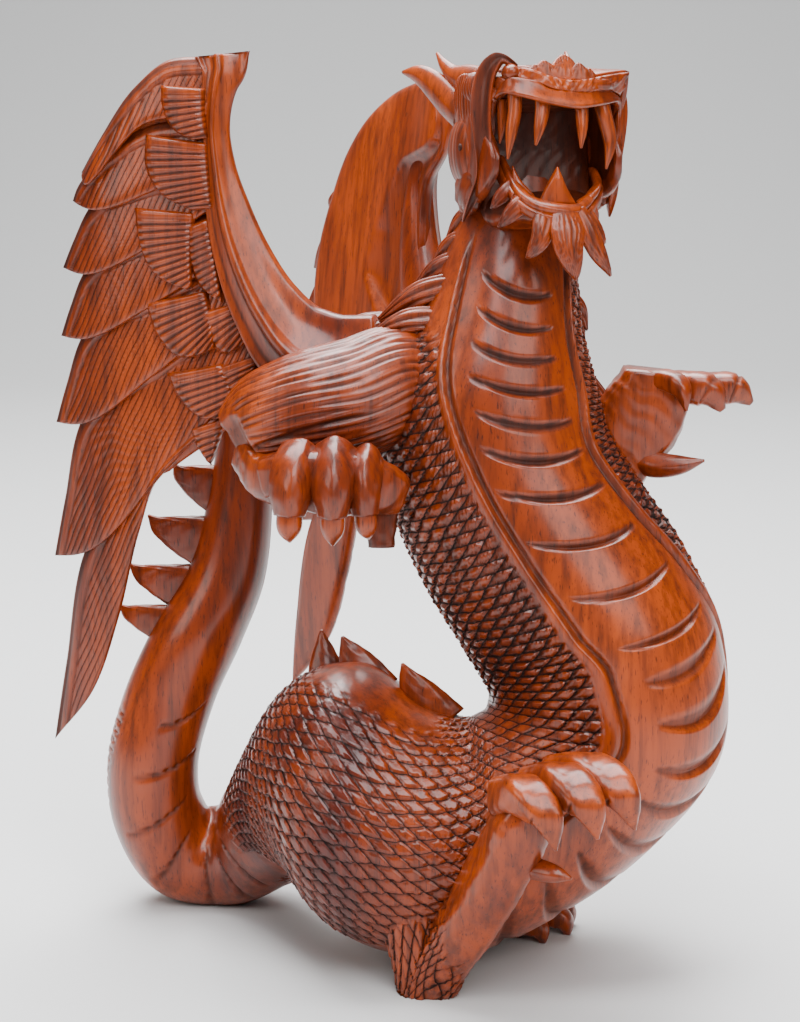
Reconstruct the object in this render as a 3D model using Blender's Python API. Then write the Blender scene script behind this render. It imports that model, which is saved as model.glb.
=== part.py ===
"""Carved wooden dragon, made as one solid from one block.

Every form of the figure is a closed sweep along a smooth curve: body, limbs, feathers, fins, claws.
They are united into one solid and cut flat where it stands.
Sizes are in millimetres of the figure at its measured height, and follow HEIGHT.
"""
import bpy
import bmesh
import numpy as np
from mathutils import Vector
from mathutils.bvhtree import BVHTree

# Driving sizes
HEIGHT = 0.402                # metres, ground to the tip of the right wing
MEASURED_HEIGHT = 402.0       # the same height in the millimetres that all sizes below use
MM = HEIGHT / MEASURED_HEIGHT

# Carving on the body
RING_RUNS = ((0.0, 42), (0.47, 9), (0.60, 17))   # share of its length where each run of rings starts
BODY_SIDES = 28
SCALE_LIFT = 2.0              # how far a scale stands above the groove beside it
PLATE_CUT = 2.4               # depth of the cuts between belly plates
PLATE_SAG = 5.0               # how far the middle of a plate hangs toward the tail
RIM_LIFT = 1.4                # smooth raised rim on each side of the belly plates
BELLY_HALF_ANGLE = 34.0       # degrees each side of the belly's middle that the plates reach
RIM_HALF_ANGLE = 46.0
SCALES_END = 0.70             # share of the body's length where the scales give way to smooth tail

# Along the spine from head to tail tip:
# centre x, y, z, half width, half depth, and the way the belly faces x, y, z
SPINE = [
    (52, 16, 350, 20, 18, 0.10, -0.98, 0.00),
    (49, 8, 320, 27, 24, 0.10, -0.98, 0.00),
    (44, 4, 287, 36, 31, 0.15, -0.97, 0.05),
    (39, 4, 256, 48, 40, 0.30, -0.92, 0.12),
    (43, 4, 225, 51, 45, 0.38, -0.90, 0.12),
    (58, 2, 194, 53, 49, 0.45, -0.87, 0.13),
    (77, 0, 164, 54, 52, 0.53, -0.83, 0.16),
    (91, -2, 134, 54, 52, 0.66, -0.71, 0.23),
    (91, -4, 105, 53, 53, 0.76, -0.63, -0.09),
    (76, -6, 83, 53, 47, 0.65, -0.62, -0.44),
    (56, -8, 68, 53, 47, 0.38, -0.59, -0.69),
    (31, -10, 57, 54, 52, 0.04, -0.40, -0.92),
    (3, -12, 61, 56, 56, -0.10, -0.16, -0.97),
    (-20, -8, 75, 55, 59, -0.05, -0.20, -0.97),
    (-34, 9, 76, 42, 49, 0.00, -0.40, -0.91),
    (-48, 29, 60, 33, 38, -0.20, -0.75, -0.62),
    (-65, 46, 38, 27, 29, -0.20, -0.90, -0.38),
    (-84, 57, 22.5, 24, 24, 0.00, -0.98, -0.20),
    (-103, 58, 24.5, 23.5, 22, 0.30, -0.95, 0.10),
    (-115, 54, 45, 22, 22, 0.60, -0.80, 0.10),
    (-117, 52, 69, 21, 22, 0.80, -0.60, 0.00),
    (-109, 53, 101, 20, 22, 0.92, -0.38, 0.00),
    (-95, 55, 132, 21.5, 21, 0.94, -0.32, -0.10),
    (-81, 57, 161, 18, 18, 0.95, -0.25, -0.15),
    (-75, 58, 190, 15, 15.5, 0.96, -0.20, -0.10),
    (-73, 58, 215, 12, 13, 0.97, -0.20, 0.00),
    (-75, 56, 236, 8, 9, 0.97, -0.20, 0.00),
    (-80, 52, 252, 1.2, 1.5, 0.97, -0.20, 0.00),
]

BEND_EASE = 27.0              # length over which the rings' turning is averaged
CROWDED = 5.0                 # where rings are nearer to each other than this, the carving fades

# The head's own axes: forward out of the mouth, left, up
HEAD_AT = (61, -18, 361)
HEAD_YAW = 20.0               # degrees that the mouth turns from the front, toward the figure's left
HEAD_PITCH = 5.0
HEAD_MIDDLE = 4.0             # the mouth's middle lies this far to the left of these axes

# The wings' planes: out along the wing, up, and the carved face
RIGHT_WING_AT = (-26, 8, 275.5)
RIGHT_WING_YAW = 169.7        # degrees of the outward direction, seen from above
LEFT_WING_AT = (25, 66, 262)
LEFT_WING_YAW = 118.0
LEFT_WING_SCALE = 0.98
LEFT_WING_LEAN = 0.13         # share of its upper height by which it leans to the figure's left
WING_BEND_FROM = 45.0         # beyond this distance out, the feathers curve back
WING_BEND = 0.0019

# A wing's outline in its own plane: out, up
FEATHER_TIPS = [(119, 73), (124, 60), (130, 30), (132, -1), (136, -41), (139, -104), (142, -193)]
FEATHER_NOTCHES = [(92, 111), (117.5, 72), (114, 60), (118, 31), (120, 2), (122, -37), (122, -97)]
FEATHER_ROOTS = [(60, 124), (54, 98), (55, 80), (54, 60), (50, 38), (44, 18), (34, -6), (24, -34)]
FEATHER_LIFTS = [4.5, 9, 1, 1, 1, 1, 1]      # how far the middle of an upper edge lies above a straight line
FEATHER_SAGS = [-12, 3, 3, 3, 3, 3]         # how far the middle of a lower edge lies below one
LAST_FEATHER_EDGE = [(24, -34), (68, -46), (84, -62), (94, -88), (105, -128), (120, -166)]
FEATHER_THICK = 3.4           # half thickness of a feather
THINNEST = 1.0                # half thickness of every point and edge
FEATHER_TILT = 2.2            # how far a feather's lower edge stands forward of its upper one

# The smooth back of a wing, from a line along the leading edge out to the feathers: out, up
WING_BACK_ROOT = [(54, 112), (54, 95), (53, 78), (50, 60), (43, 38), (32, 12), (40, -25), (80, -60)]
WING_BACK_END = [(120, -60), (112, -75)]
WING_BACK_AT = -3.4           # forward of the feathers' middle
WING_BACK_THICK = 3.0
BACK_REACH = (0.1, 0.75)      # share of the way from notches to tips that the back reaches: right, left

# Overlapping small feathers: centre out, up, half length, half width, and the way it points in degrees
COVERTS = [
    (70, 102, 17, 7, 250), (75, 77, 20, 9, 256), (78, 42, 22, 11, 258), (73, 10, 20, 11, 250),
    (63, -17, 18, 10, 240), (57, 40, 18, 7, 268), (47, 10, 15, 8, 240), (42, -12, 13, 8, 230),
    (54, -42, 15, 8, 240),
]

# Leading edge of a wing: out, up, forward, half width, half thickness
WING_ARM = [
    (-16, -8, 2, 22, 15), (2, -8, 2, 22, 14), (19, 0, 2, 20, 13), (32, 16, 2, 16, 12),
    (43, 38, 1, 12.5, 11), (50, 60, 0, 9.5, 9), (53, 78, 0, 6.5, 7.5),
]
RIGHT_ARM_TOP = [(54.5, 95, 0, 6, 6.5), (54, 112, 0, 8, 5.5), (51, 124, 0, 12, 2.5)]
LEFT_ARM_TOP = [(50, 95, 0, 10, 6), (46, 110, 0, 15, 4.5), (44, 120, 0, 18, 1.5)]

# Strands of hair along the right upper arm
STRANDS = 8
STRAND_SIDES = 22             # places round the arm that a strand may take
STRAND_FIRST = -6             # the first strand, counted from the front, upward
STRAND_RINGS = 7              # rings along the arm that a strand passes

SKIN_GRID = 0.9               # grid on which the limbs, wings and head grow into one skin
KEPT_FACES = 0.0064           # share of that skin's faces that its form needs
EASING = 0.5                  # how far a tangled corner moves towards its neighbours' middle
EASING_ROUNDS = 20
GROUND_DEPTH = 60.0           # how far the block below the ground that trims the feet reaches

WOOD_COLOR = (0.36, 0.11, 0.035, 1.0)
WOOD_ROUGHNESS = 0.34


def unit(vectors):
    """Vectors of length one, along the last axis."""
    vectors = np.asarray(vectors, float)
    return vectors / np.linalg.norm(vectors, axis=-1, keepdims=True)


def curve(keys, shares):
    """Rows read at shares of the length of a smooth curve through the rows of keys, x y z first."""
    keys = np.array(keys, float)
    lengths = np.linalg.norm(np.diff(keys[:, :3], axis=0), axis=1)
    along = np.concatenate(([0.0], np.cumsum(lengths)))
    slope = np.gradient(keys, along, axis=0)
    at = along[-1] * shares
    first = np.clip(np.searchsorted(along, at, side="right") - 1, 0, len(along) - 2)
    gap = (along[first + 1] - along[first])[:, None]
    f = (at - along[first])[:, None] / gap
    start = keys[first] * (1 + 2 * f) * (1 - f) ** 2 + slope[first] * gap * f * (1 - f) ** 2
    end = keys[first + 1] * f * f * (3 - 2 * f) + slope[first + 1] * gap * f * f * (f - 1)
    return start + end


def even(count):
    """Shares of a length at even steps, both ends included."""
    return np.linspace(0.0, 1.0, count)


def oval(angle):
    """A round section: share of the half depth and of the half width at each angle."""
    return np.cos(angle), np.sin(angle)


def leaf(angle):
    """A section with a narrow edge on each side, as of a leaf or a feather."""
    cosine = np.cos(angle)
    return np.sign(cosine) * np.abs(cosine) ** 1.4, np.sin(angle)


def boxy(angle):
    """A section with soft corners, between round and square."""
    power = 0.6
    cosine = np.cos(angle)
    sine = np.sin(angle)
    return np.sign(cosine) * np.abs(cosine) ** power, np.sign(sine) * np.abs(sine) ** power


def rings_along(rows, facing, sides, section=oval, ease=0.0):
    """Rings of points round each row: centre x, y, z, half width, half depth.

    With ease, the rings turn as the path does on average over that distance, so that
    they don't cross on the inside of a sharp bend, and face exactly as facing says.
    """
    centre = rows[:, :3]
    along = unit(np.gradient(centre, axis=0))
    front = unit(np.broadcast_to(np.asarray(facing, float), centre.shape))
    if ease:
        gaps = np.linalg.norm(np.diff(centre, axis=0), axis=1)
        place = np.concatenate(([0.0], np.cumsum(gaps)))
        weight = np.exp(-0.5 * ((place[:, None] - place[None, :]) / ease) ** 2)
        along = unit(weight @ along)
    else:
        front = unit(front - (front * along).sum(axis=1, keepdims=True) * along)
    side = unit(np.cross(along, front))
    angle = 2 * np.pi * np.arange(sides) / sides
    depth, width = section(angle)
    out = front[:, None, :] * (depth[None, :] * rows[:, 4:5])[:, :, None]
    out = out + side[:, None, :] * (width[None, :] * rows[:, 3:4])[:, :, None]
    return centre[:, None, :] + out


class Axes:
    """A place in the figure with three directions of its own."""

    def __init__(self, at=(0, 0, 0), x=(1, 0, 0), y=(0, 1, 0), z=(0, 0, 1)):
        self.at = np.array(at, float)
        self.table = np.array([x, y, z], float)

    def out(self, points):
        """Points given on these axes, as points of the figure."""
        return self.at + np.asarray(points, float) @ self.table


FIGURE = Axes()


def head_axes():
    """Forward, left and up of the head."""
    yaw = np.radians(HEAD_YAW)
    pitch = np.radians(HEAD_PITCH)
    forward = (np.sin(yaw) * np.cos(pitch), -np.cos(yaw) * np.cos(pitch), np.sin(pitch))
    left = (np.cos(yaw), np.sin(yaw), 0.0)
    return Axes(HEAD_AT, forward, left, np.cross(forward, left))


class WingAxes(Axes):
    """Out, up and forward of a wing, whose feathers curve back toward their tips."""

    def __init__(self, at, yaw, face, scale=1.0, lean=0.0):
        turn = np.radians(yaw)
        out = np.array([np.cos(turn), np.sin(turn), 0.0])
        forward = face * np.array([-np.sin(turn), np.cos(turn), 0.0])
        super().__init__(at, out * scale, (0, 0, scale), forward)
        self.lean = lean

    def out(self, points):
        points = np.array(points, float)
        points[..., 2] -= WING_BEND * np.clip(points[..., 0] - WING_BEND_FROM, 0, None) ** 2
        placed = super().out(points)
        placed[..., 0] += self.lean * np.clip(points[..., 1], 0, None)
        return placed


class Carving:
    """Closed forms that overlap where they grow out of each other."""

    def __init__(self):
        self.points = []
        self.faces = []
        self.count = 0

    def rings(self, rings):
        """Keep the closed skin over a row of rings."""
        count, sides = rings.shape[:2]
        points = [rings.reshape(-1, 3), rings[0].mean(axis=0)[None], rings[-1].mean(axis=0)[None]]
        faces = self.faces
        start = self.count
        for ring in range(count - 1):
            for side in range(sides):
                near = start + ring * sides + side
                far = start + ring * sides + (side + 1) % sides
                faces.append((near, far, far + sides, near + sides))
        last = start + (count - 1) * sides
        ends = start + count * sides
        for side in range(sides):
            follow = (side + 1) % sides
            faces.append((ends, start + follow, start + side))
            faces.append((ends + 1, last + side, last + follow))
        self.points += points
        self.count += count * sides + 2

    def sweep(self, keys, facing, steps, sides, section=oval, axes=FIGURE):
        """Keep a closed form along keys of centre x, y, z, half width, half depth."""
        rows = curve(keys, even(steps))
        rows[:, 3:5] = np.maximum(rows[:, 3:5], THINNEST)
        rings = rings_along(rows, facing, sides, section)
        self.rings(axes.out(rings))

    def plate(self, one_edge, other_edge, thick, face, steps, sides, section=oval, axes=FIGURE):
        """Keep a flat form between two edges, half as thick as thick in its middle."""
        share = even(steps)
        one = curve(one_edge, share)
        other = curve(other_edge, share)
        half = (one - other) / 2
        reach = np.linalg.norm(half, axis=1, keepdims=True)
        across = unit(half[1:-1])
        across = np.vstack([across[:1], across, across[-1:]])
        half = across * np.maximum(reach, THINNEST)
        depth, width = section(2 * np.pi * np.arange(sides) / sides)
        body = np.maximum(thick * np.sqrt(1 - share[:, None] ** 3), THINNEST)
        normal = np.asarray(face, float)
        out = half[:, None, :] * width[None, :, None] + normal * (body * depth)[:, :, None]
        middle = (one + other) / 2
        self.rings(axes.out(middle[:, None, :] + out))


def mirrored(keys):
    """The same keys on the head's other side."""
    return [(row[0], 2 * HEAD_MIDDLE - row[1]) + tuple(row[2:]) for row in keys]


def carve_body(work):
    """Neck, trunk, haunch and tail in one sweep, with scales, belly plates and their rims."""
    ends = [start for start, _ in RING_RUNS[1:]] + [1.0]
    runs = [np.linspace(start, end, count, endpoint=False) for (start, count), end in zip(RING_RUNS, ends)]
    share = np.append(np.concatenate(runs), 1.0)
    rows = curve(SPINE, share)
    rings = rings_along(rows, rows[:, 5:8], BODY_SIDES, ease=BEND_EASE)
    outward = unit(rings - rows[:, None, :3])
    tailward = unit(np.gradient(rings, axis=0))
    degrees = 360.0 * np.arange(BODY_SIDES) / BODY_SIDES
    degrees = np.minimum(degrees, 360.0 - degrees)[None, :]
    number = np.arange(len(share))[:, None]
    side = np.arange(BODY_SIDES)[None, :]
    share = share[:, None]
    fade = np.clip((SCALES_END - share) / 0.04, 0.0, 1.0) * np.clip(share / 0.03, 0.0, 1.0)
    gap = np.linalg.norm(np.gradient(rings, axis=0), axis=2)
    fade = fade * np.clip(2 * gap / CROWDED - 1, 0.0, 1.0)
    belly = np.cos(np.radians(90 * np.clip(degrees / BELLY_HALF_ANGLE, 0, 1)))
    scales = np.where((number + side) % 2 == 0, SCALE_LIFT, -SCALE_LIFT) / 2
    plates = -PLATE_CUT * (number % 2) * belly
    lift = np.where(degrees < BELLY_HALF_ANGLE, plates, np.where(degrees < RIM_HALF_ANGLE, RIM_LIFT, scales))
    rings = rings + outward * (lift * fade)[:, :, None] + tailward * (PLATE_SAG * belly * fade)[:, :, None]
    work.rings(rings)


def carve_head(work):
    """Skull and jaws with the open mouth, teeth, eyes, frills, horns, crest and beard."""
    axes = head_axes()
    up = (0, 0, 1)
    ahead = (1, 0, 0)
    middle = HEAD_MIDDLE

    skull = [
        (-54, middle, -8, 11, 12), (-46, middle, -3, 22, 24), (-36, middle, 1, 28, 31),
        (-28, middle, 2, 29, 32.5), (-22, middle, 2, 28, 31),
    ]
    roof = [
        (-34, middle, 24, 28, 13), (-18, middle, 27, 29, 10), (-4, middle, 27.5, 29, 7.5),
        (6, middle, 27.5, 28, 6), (13, middle, 26.5, 22, 3.5),
    ]
    floor = [
        (-34, middle, -20, 25, 12), (-18, middle, -24, 23, 9), (-4, middle, -25, 20, 6.5),
        (8, middle, -25.5, 16, 5), (16, middle - 3, -25, 11, 3.5),
    ]
    for keys in (skull, roof, floor):
        work.sweep(keys, up, 10, 16, boxy, axes)
    wall = [(-32, -23.5, 2, 4.5, 28), (-20, -24.5, 2, 4, 24), (-8, -25, 4, 3.2, 19), (-2, -24.5, 8, 2.2, 12)]
    work.sweep(wall, up, 6, 10, boxy, axes)
    work.sweep(mirrored(wall), up, 6, 10, boxy, axes)

    lip = [
        (-8, -20.7, 9.6), (0, -22.4, 22), (7, -21, 25.8), (12, -15, 26.5), (15, -5, 23.5), (15.5, 6, 20.8),
        (12, 17, 21.5), (8, 25, 21.2), (2, 33, 20), (-5, 34.8, 10),
    ]
    jaw = [
        (-11, -17, -1.5), (-3, -17.5, -7), (7, -17.2, -14), (14, -14.5, -20), (18.5, -8, -24),
        (19, 4.5, -24.6), (14, 11, -22.6), (6, 17.5, -19), (-3, 24.5, -14), (-12, 27, -7),
    ]
    nose = [(9, -16, 32), (12, -9, 31), (13, 0, 28.5), (13, 9, 28), (10, 22, 29.5), (5, 35.5, 31)]
    side = [(2, 36.5, 29), (-3, 36.5, 16), (-10, 35.5, 3), (-15, 33.5, -9), (-20, 31, -22)]
    for keys, facing, wide, thick in (
        (lip, ahead, 3.2, 2.2), (jaw, up, 2.4, 2.6), (nose, ahead, 2.8, 2.4), (side, (0, 1, 0), 4.0, 2.2),
    ):
        work.sweep([(*row, wide, thick) for row in keys], facing, 20, 8, oval, axes)

    teeth = [
        [(8, -16.8, 26, 3, 3), (8.5, -17, 18, 3, 2.6), (8.5, -19, 7, 2.3, 2.2), (8, -20.5, -3, 0.5, 0.5)],
        [(0, -19, 22, 2.4, 2.4), (0, -19.4, 12, 2, 2), (0, -20.6, 3.7, 0.5, 0.5)],
        [(10, -5.4, 26, 3.4, 2.4), (11, -5.6, 18.5, 3.3, 2.4), (12, -7.8, 9, 2.3, 2), (12, -9.5, 2.4, 0.5, 0.5)],
        [(10, 12, 26, 3.2, 2.4), (11, 12, 17, 3, 2.4), (12, 11.6, 8, 2.2, 2), (12, 11, 0.7, 0.5, 0.5)],
        [(4, 23, 25, 3.4, 3), (5, 25, 15, 3.4, 3), (4, 28, 3, 2.9, 2.6), (6, 25, -8, 0.5, 0.5)],
        [(-2, 28, 20, 2.4, 2.4), (-2, 29.5, 10, 2, 2), (-2, 29, 2, 0.5, 0.5)],
        [(14.5, -1.3, -22, 8, 2.2), (15, -1.5, -15, 4.2, 2), (16, -1.8, -6.7, 0.5, 0.5)],
        [(9, -13, -18, 4, 2.2), (5, -15.5, -11.5, 2.4, 1.8), (4, -16.8, -6, 0.5, 0.5)],
        [(10, 12.3, -21, 4, 2.2), (8.5, 17, -18, 2.6, 1.8), (6, 21.4, -13.9, 0.5, 0.5)],
    ]
    for tooth in teeth:
        work.sweep(tooth, ahead, 6, 8, oval, axes)

    frill = [
        (9.5, -15.8, 34.6, 2, 1.6), (5.5, -21.3, 38.8, 3, 1.8), (2.5, -24.5, 36.5, 4, 1.8),
        (0.3, -27, 30, 4.6, 1.8), (-1, -28.4, 16, 4.8, 1.8), (-1.8, -27.6, 4, 4.2, 1.8),
        (-5.5, -26.9, -8, 3.6, 1.8), (-11.5, -28.4, -18, 2.4, 1.6), (-20, -30, -29, 0.6, 0.6),
    ]
    work.sweep(frill, (0.76, -0.65, 0), 18, 8, oval, axes)
    work.sweep(mirrored(frill[3:]), (0.76, 0.65, 0), 12, 8, oval, axes)

    eye = [
        (-38, -24, 1, 1.5, 1.5), (-35, -25, 1, 10, 4.5), (-27, -25.5, 1, 14.5, 5.8), (-18, -25.5, 1, 12.5, 5),
        (-12, -25, 1, 2, 2),
    ]
    brow = [(-38, -16, 25, 6, 7), (-24, -22, 27, 7, 6.5), (-12, -25, 27, 7, 4.5), (-3, -26, 29, 5, 3)]
    cheek = [(-34, -21, -15, 9, 7), (-20, -25, -12, 10, 4.5), (-9, -24, -6, 8, 3), (0, -21, -5, 3, 2)]
    horn = [
        (-36, -22, 17, 7.5, 5), (-44, -25, 23, 7.5, 4.6), (-54, -28.5, 30.5, 6.5, 3.6),
        (-64, -32, 36, 4.2, 2.6), (-73, -36, 37.6, 0.8, 0.6),
    ]
    ear = [
        (-24, -19, 29, 8, 5), (-34, -21, 31.5, 7, 4.4), (-43, -23.5, 34.5, 4.4, 3.2),
        (-50, -25.5, 39.5, 2.6, 2), (-55, -26.5, 44.5, 0.8, 0.6),
    ]
    for keys in (eye, brow, cheek, horn, ear):
        work.sweep(keys, (0, 1, 0), 10, 10, oval, axes)
        work.sweep(mirrored(keys), (0, 1, 0), 10, 10, oval, axes)

    crest = ((-7, 35.5, 2.6), (-3.4, 36.8, 2.8), (4, 39.6, 4.2), (11, 35.6, 3.0), (15, 33.4, 2.4))
    for across, high, wide in crest:
        root = (9, middle + (across - middle) * 0.8, 26, wide, 2.4)
        bend = (10.5, middle + (across - middle) * 0.9, high - 4, wide, 2.0)
        work.sweep([root, bend, (10.5, across, high, 1, 0.8)], ahead, 5, 8, oval, axes)

    beard = [
        ((4, -17, -13), (2, -26.2, -23), 3.4), ((11, -14, -19), (8, -25.6, -30.8), 4.0),
        ((17, -8, -24), (15.5, -16.4, -43.6), 5.2), ((19, -1, -25), (19, 4.4, -53.6), 7.6),
        ((17, 6, -24), (15, 22, -52.6), 4.8), ((11, 10, -23), (11, 21.4, -39.2), 3.8),
        ((7, 13, -20), (5, 20, -30.2), 3.2),
    ]
    for root, tip, wide in beard:
        bend = tuple((a + b) / 2 for a, b in zip(root, tip))
        bend = (bend[0] + 2, bend[1], bend[2] + 1)
        work.sweep([(*root, wide * 0.8, 2), (*bend, wide, 1.8), (*tip, 0.6, 0.6)], ahead, 8, 8, leaf, axes)


def carve_wing(work, axes, arm_top, back_reach):
    """Leading edge, long feathers, the small feathers that cover their roots, and the smooth back."""
    work.sweep(WING_ARM + arm_top, (0, 0, 1), 20, 12, oval, axes)
    for number in range(len(FEATHER_TIPS)):
        root = np.array(FEATHER_ROOTS[number], float)
        under = np.array(FEATHER_ROOTS[number + 1], float)
        tip = np.array(FEATHER_TIPS[number], float)
        notch = np.array(FEATHER_NOTCHES[number], float)
        upper = [root, root + (notch - root) * 0.5 + (1, FEATHER_LIFTS[number]), notch, tip + (notch - tip) * 0.4 + (1, 0.5)]
        if number + 1 < len(FEATHER_TIPS):
            turn = np.array(FEATHER_NOTCHES[number + 1], float) - (0, 4)
            lower = [under, under + (turn - under) * 0.5 - (0, FEATHER_SAGS[number]), turn + (tip - turn) * 0.3]
        else:
            lower = LAST_FEATHER_EDGE
        upper = [(*point, -FEATHER_TILT) for point in upper] + [(*tip, 0)]
        lower = [(*point, FEATHER_TILT) for point in lower] + [(*tip, 0)]
        work.plate(upper, lower, FEATHER_THICK, (0, 0, 1), 14, 8, oval, axes)
    tips = np.array(FEATHER_TIPS[:-1], float)
    notches = np.array(FEATHER_NOTCHES[:-1], float)
    outer = [tuple(point) for point in notches + (tips - notches) * back_reach] + WING_BACK_END
    outer = [(*point, WING_BACK_AT) for point in outer]
    inner = [(*point, WING_BACK_AT) for point in WING_BACK_ROOT]
    work.plate(inner, outer, WING_BACK_THICK, (0, 0, 1), 16, 12, boxy, axes)
    for out, high, length, wide, turn in COVERTS:
        way = np.array([np.cos(np.radians(turn)), np.sin(np.radians(turn))])
        start = np.array([out, high]) - way * length
        keys = []
        for share, size in ((0.0, 0.55), (0.45, 1.0), (0.8, 0.85), (1.0, 0.15)):
            point = start + way * 2 * length * share
            keys.append((point[0], point[1], 2.5 + 2.5 * share, wide * size, 3.4))
        work.sweep(keys, (0, 0, 1), 8, 8, leaf, axes)


def carve_claw(work, keys, facing):
    """A toe that ends in a pointed claw, with a step where the claw comes out of the toe."""
    last = np.array(keys[-2], float)
    tip = np.array(keys[-1], float)
    before = last[:3] + (np.array(keys[-3], float)[:3] - last[:3]) * 0.25
    work.sweep(keys[:-1], facing, 7, 8)
    bend = last[:3] + (tip[:3] - last[:3]) * 0.5 + unit(last[:3] - np.array(keys[-3], float)[:3]) * 2
    claw = [(*before, last[3] * 0.74, last[4] * 0.74), (*bend, last[3] * 0.62, last[4] * 0.62), tuple(tip)]
    work.sweep(claw, facing, 6, 8)


def carve_arms(work):
    """Upper arms covered in strands of hair, forearms and three-toed hands."""
    front = (0, -1, 0)
    right_upper = [
        (24, 2, 262, 12, 12), (4, -4, 262, 24, 21), (-18, -14, 256, 26, 24), (-46, -18, 250, 24, 22),
        (-62, -14, 244, 20, 18), (-72, -12, 239, 13, 12),
    ]
    work.sweep(right_upper, front, 10, 14)
    right_fore = [
        (-64, -14, 232, 9, 10), (-56, -30, 225, 9, 10), (-42, -42, 226, 11, 13), (-28, -46, 226, 12, 14),
        (-12, -42, 223, 12, 12), (-2, -36, 218, 9, 9),
    ]
    work.sweep(right_fore, (0, 0, 1), 10, 12)
    for toe in (
        [(-41, -46, 239, 9, 8), (-44, -55, 231, 10, 9), (-46, -59, 213.5, 6.6, 7), (-46, -58, 202, 0.6, 0.6)],
        [(-27, -48, 240, 9, 8), (-27.5, -58, 232, 10, 9), (-28, -61, 213.5, 6.2, 7), (-28, -60, 201, 0.6, 0.6)],
        [(-14, -45, 236, 7, 8), (-15, -54, 230, 8, 8.5), (-14.5, -58, 213.5, 5.6, 6), (-13, -56, 203, 0.6, 0.6)],
    ):
        carve_claw(work, toe, front)
    thumb = [(-8, -32, 224, 8, 8), (-8, -38, 211, 7, 7), (-8, -40, 196, 5.5, 6)]
    work.sweep(thumb, front, 4, 6, boxy)

    rings = rings_along(curve(right_upper, even(STRAND_RINGS)), front, STRAND_SIDES)
    for place in range(STRAND_FIRST, STRAND_FIRST + STRANDS):
        line = rings[:-1, place % STRAND_SIDES]
        keys = [(*point, 3.0, 2.6) for point in line]
        keys[-1] = keys[-1][:3] + (1.0, 1.0)
        work.sweep(keys, front, 10, 8)

    left_upper = [(52, 18, 262, 22, 20), (72, 28, 246, 20, 18), (88, 32, 226, 16, 15), (94, 28, 212, 11, 11)]
    work.sweep(left_upper, (0, 1, 0), 7, 10)
    left_fore = [
        (86, 22, 206, 15, 10), (98, 18, 227, 17, 10.5), (107, 17, 243, 19, 11), (111, 17, 255, 17, 10.5),
        (112, 17, 263, 13, 10),
    ]
    work.sweep(left_fore, front, 7, 8, boxy)
    for toe in (
        [(108, 19, 257, 6, 5), (117, 9, 260, 5.5, 4.5), (122.5, 2, 257.5, 4, 4.4), (125, -1, 247.6, 0.6, 0.6)],
        [(112, 20, 255, 8, 7), (126, 14, 256, 8, 7), (136, 10, 254.5, 7, 7), (142, 8, 246.5, 1.2, 1.6)],
        [(118, 26, 254, 8, 6.5), (137, 24, 254.5, 8, 6.4), (150, 22, 253, 6.4, 6.4), (156.5, 21, 247.5, 1.4, 1.4)],
    ):
        work.sweep(toe, (0, 0, 1), 9, 8, boxy)
    thumb = [(102, 17, 225, 6, 7), (113, 9, 222, 5.4, 6), (124, 4, 223, 3.8, 4.2), (133.5, 0, 225.6, 0.6, 0.6)]
    work.sweep(thumb, (0, 0, 1), 6, 6)


def carve_legs(work):
    """Hind legs: thigh down to the heel, foot with three curled claws and a spur."""
    left = (-1, 0, 0)
    thigh = [(6, -36, 58, 24, 22), (8, -46, 36, 19, 17), (10, -50, 16, 14, 13), (11, -50, -6, 11, 11)]
    work.sweep(thigh, (0, -1, 0), 7, 10)
    foot = [
        (10, -48, -6, 12, 12), (17, -54, 14, 13, 12), (31, -66, 42, 15, 12), (44, -76, 70, 16, 12),
        (52, -82, 92, 15, 12), (56, -84, 100, 11, 9),
    ]
    work.sweep(foot, left, 9, 8, boxy)
    for toe in (
        [(44, -80, 98, 9, 9), (52, -93, 103, 8, 9), (60, -101, 97, 5.6, 7), (64, -101, 82, 0.6, 0.6)],
        [(56, -77, 101, 9, 9.5), (68, -91, 107.5, 8, 9.5), (77, -101, 101, 6, 7.4), (81, -101, 87, 0.6, 0.6)],
        [(66, -68, 103, 9, 9.5), (80, -82, 109, 8, 9.5), (91.5, -93, 103, 6.4, 7.6), (97, -93, 88, 0.6, 0.6)],
    ):
        work.sweep(toe, left, 10, 10, boxy)
    spur = [(48, -78, 70, 6, 6), (58, -88, 69, 5, 5), (66, -94, 69, 3.4, 3.4), (71, -96, 68, 0.6, 0.6)]
    work.sweep(spur, (0, 0, 1), 6, 6)
    web = [(50, -84, 99, 8, 9), (64, -82, 103, 9, 9.5), (80, -74, 105, 8, 9)]
    work.sweep(web, (0, 0, 1), 4, 8, boxy)

    thigh = [(-4, 30, 60, 24, 20), (6, 40, 36, 19, 16), (10, 44, 14, 14, 12), (11, 44, -6, 11, 11)]
    work.sweep(thigh, (0, 1, 0), 7, 10)
    foot = [(10, 44, 4, 12, 9), (28, 36, 6, 13, 9), (46, 24, 6, 13, 8), (60, 15, 6, 12, 7)]
    work.sweep(foot, (0, 0, 1), 7, 8, boxy)
    for x, y in ((66, 2), (78, 12), (80, 24)):
        toe = [
            (x - 18, y + 8, 7, 6, 6), (x - 8, y + 3, 9, 5.5, 5.5), (x - 2, y + 1, 6, 4.4, 4.4),
            (x, y, -1, 0.8, 0.8),
        ]
        work.sweep(toe, (0, 0, 1), 6, 6)


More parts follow.
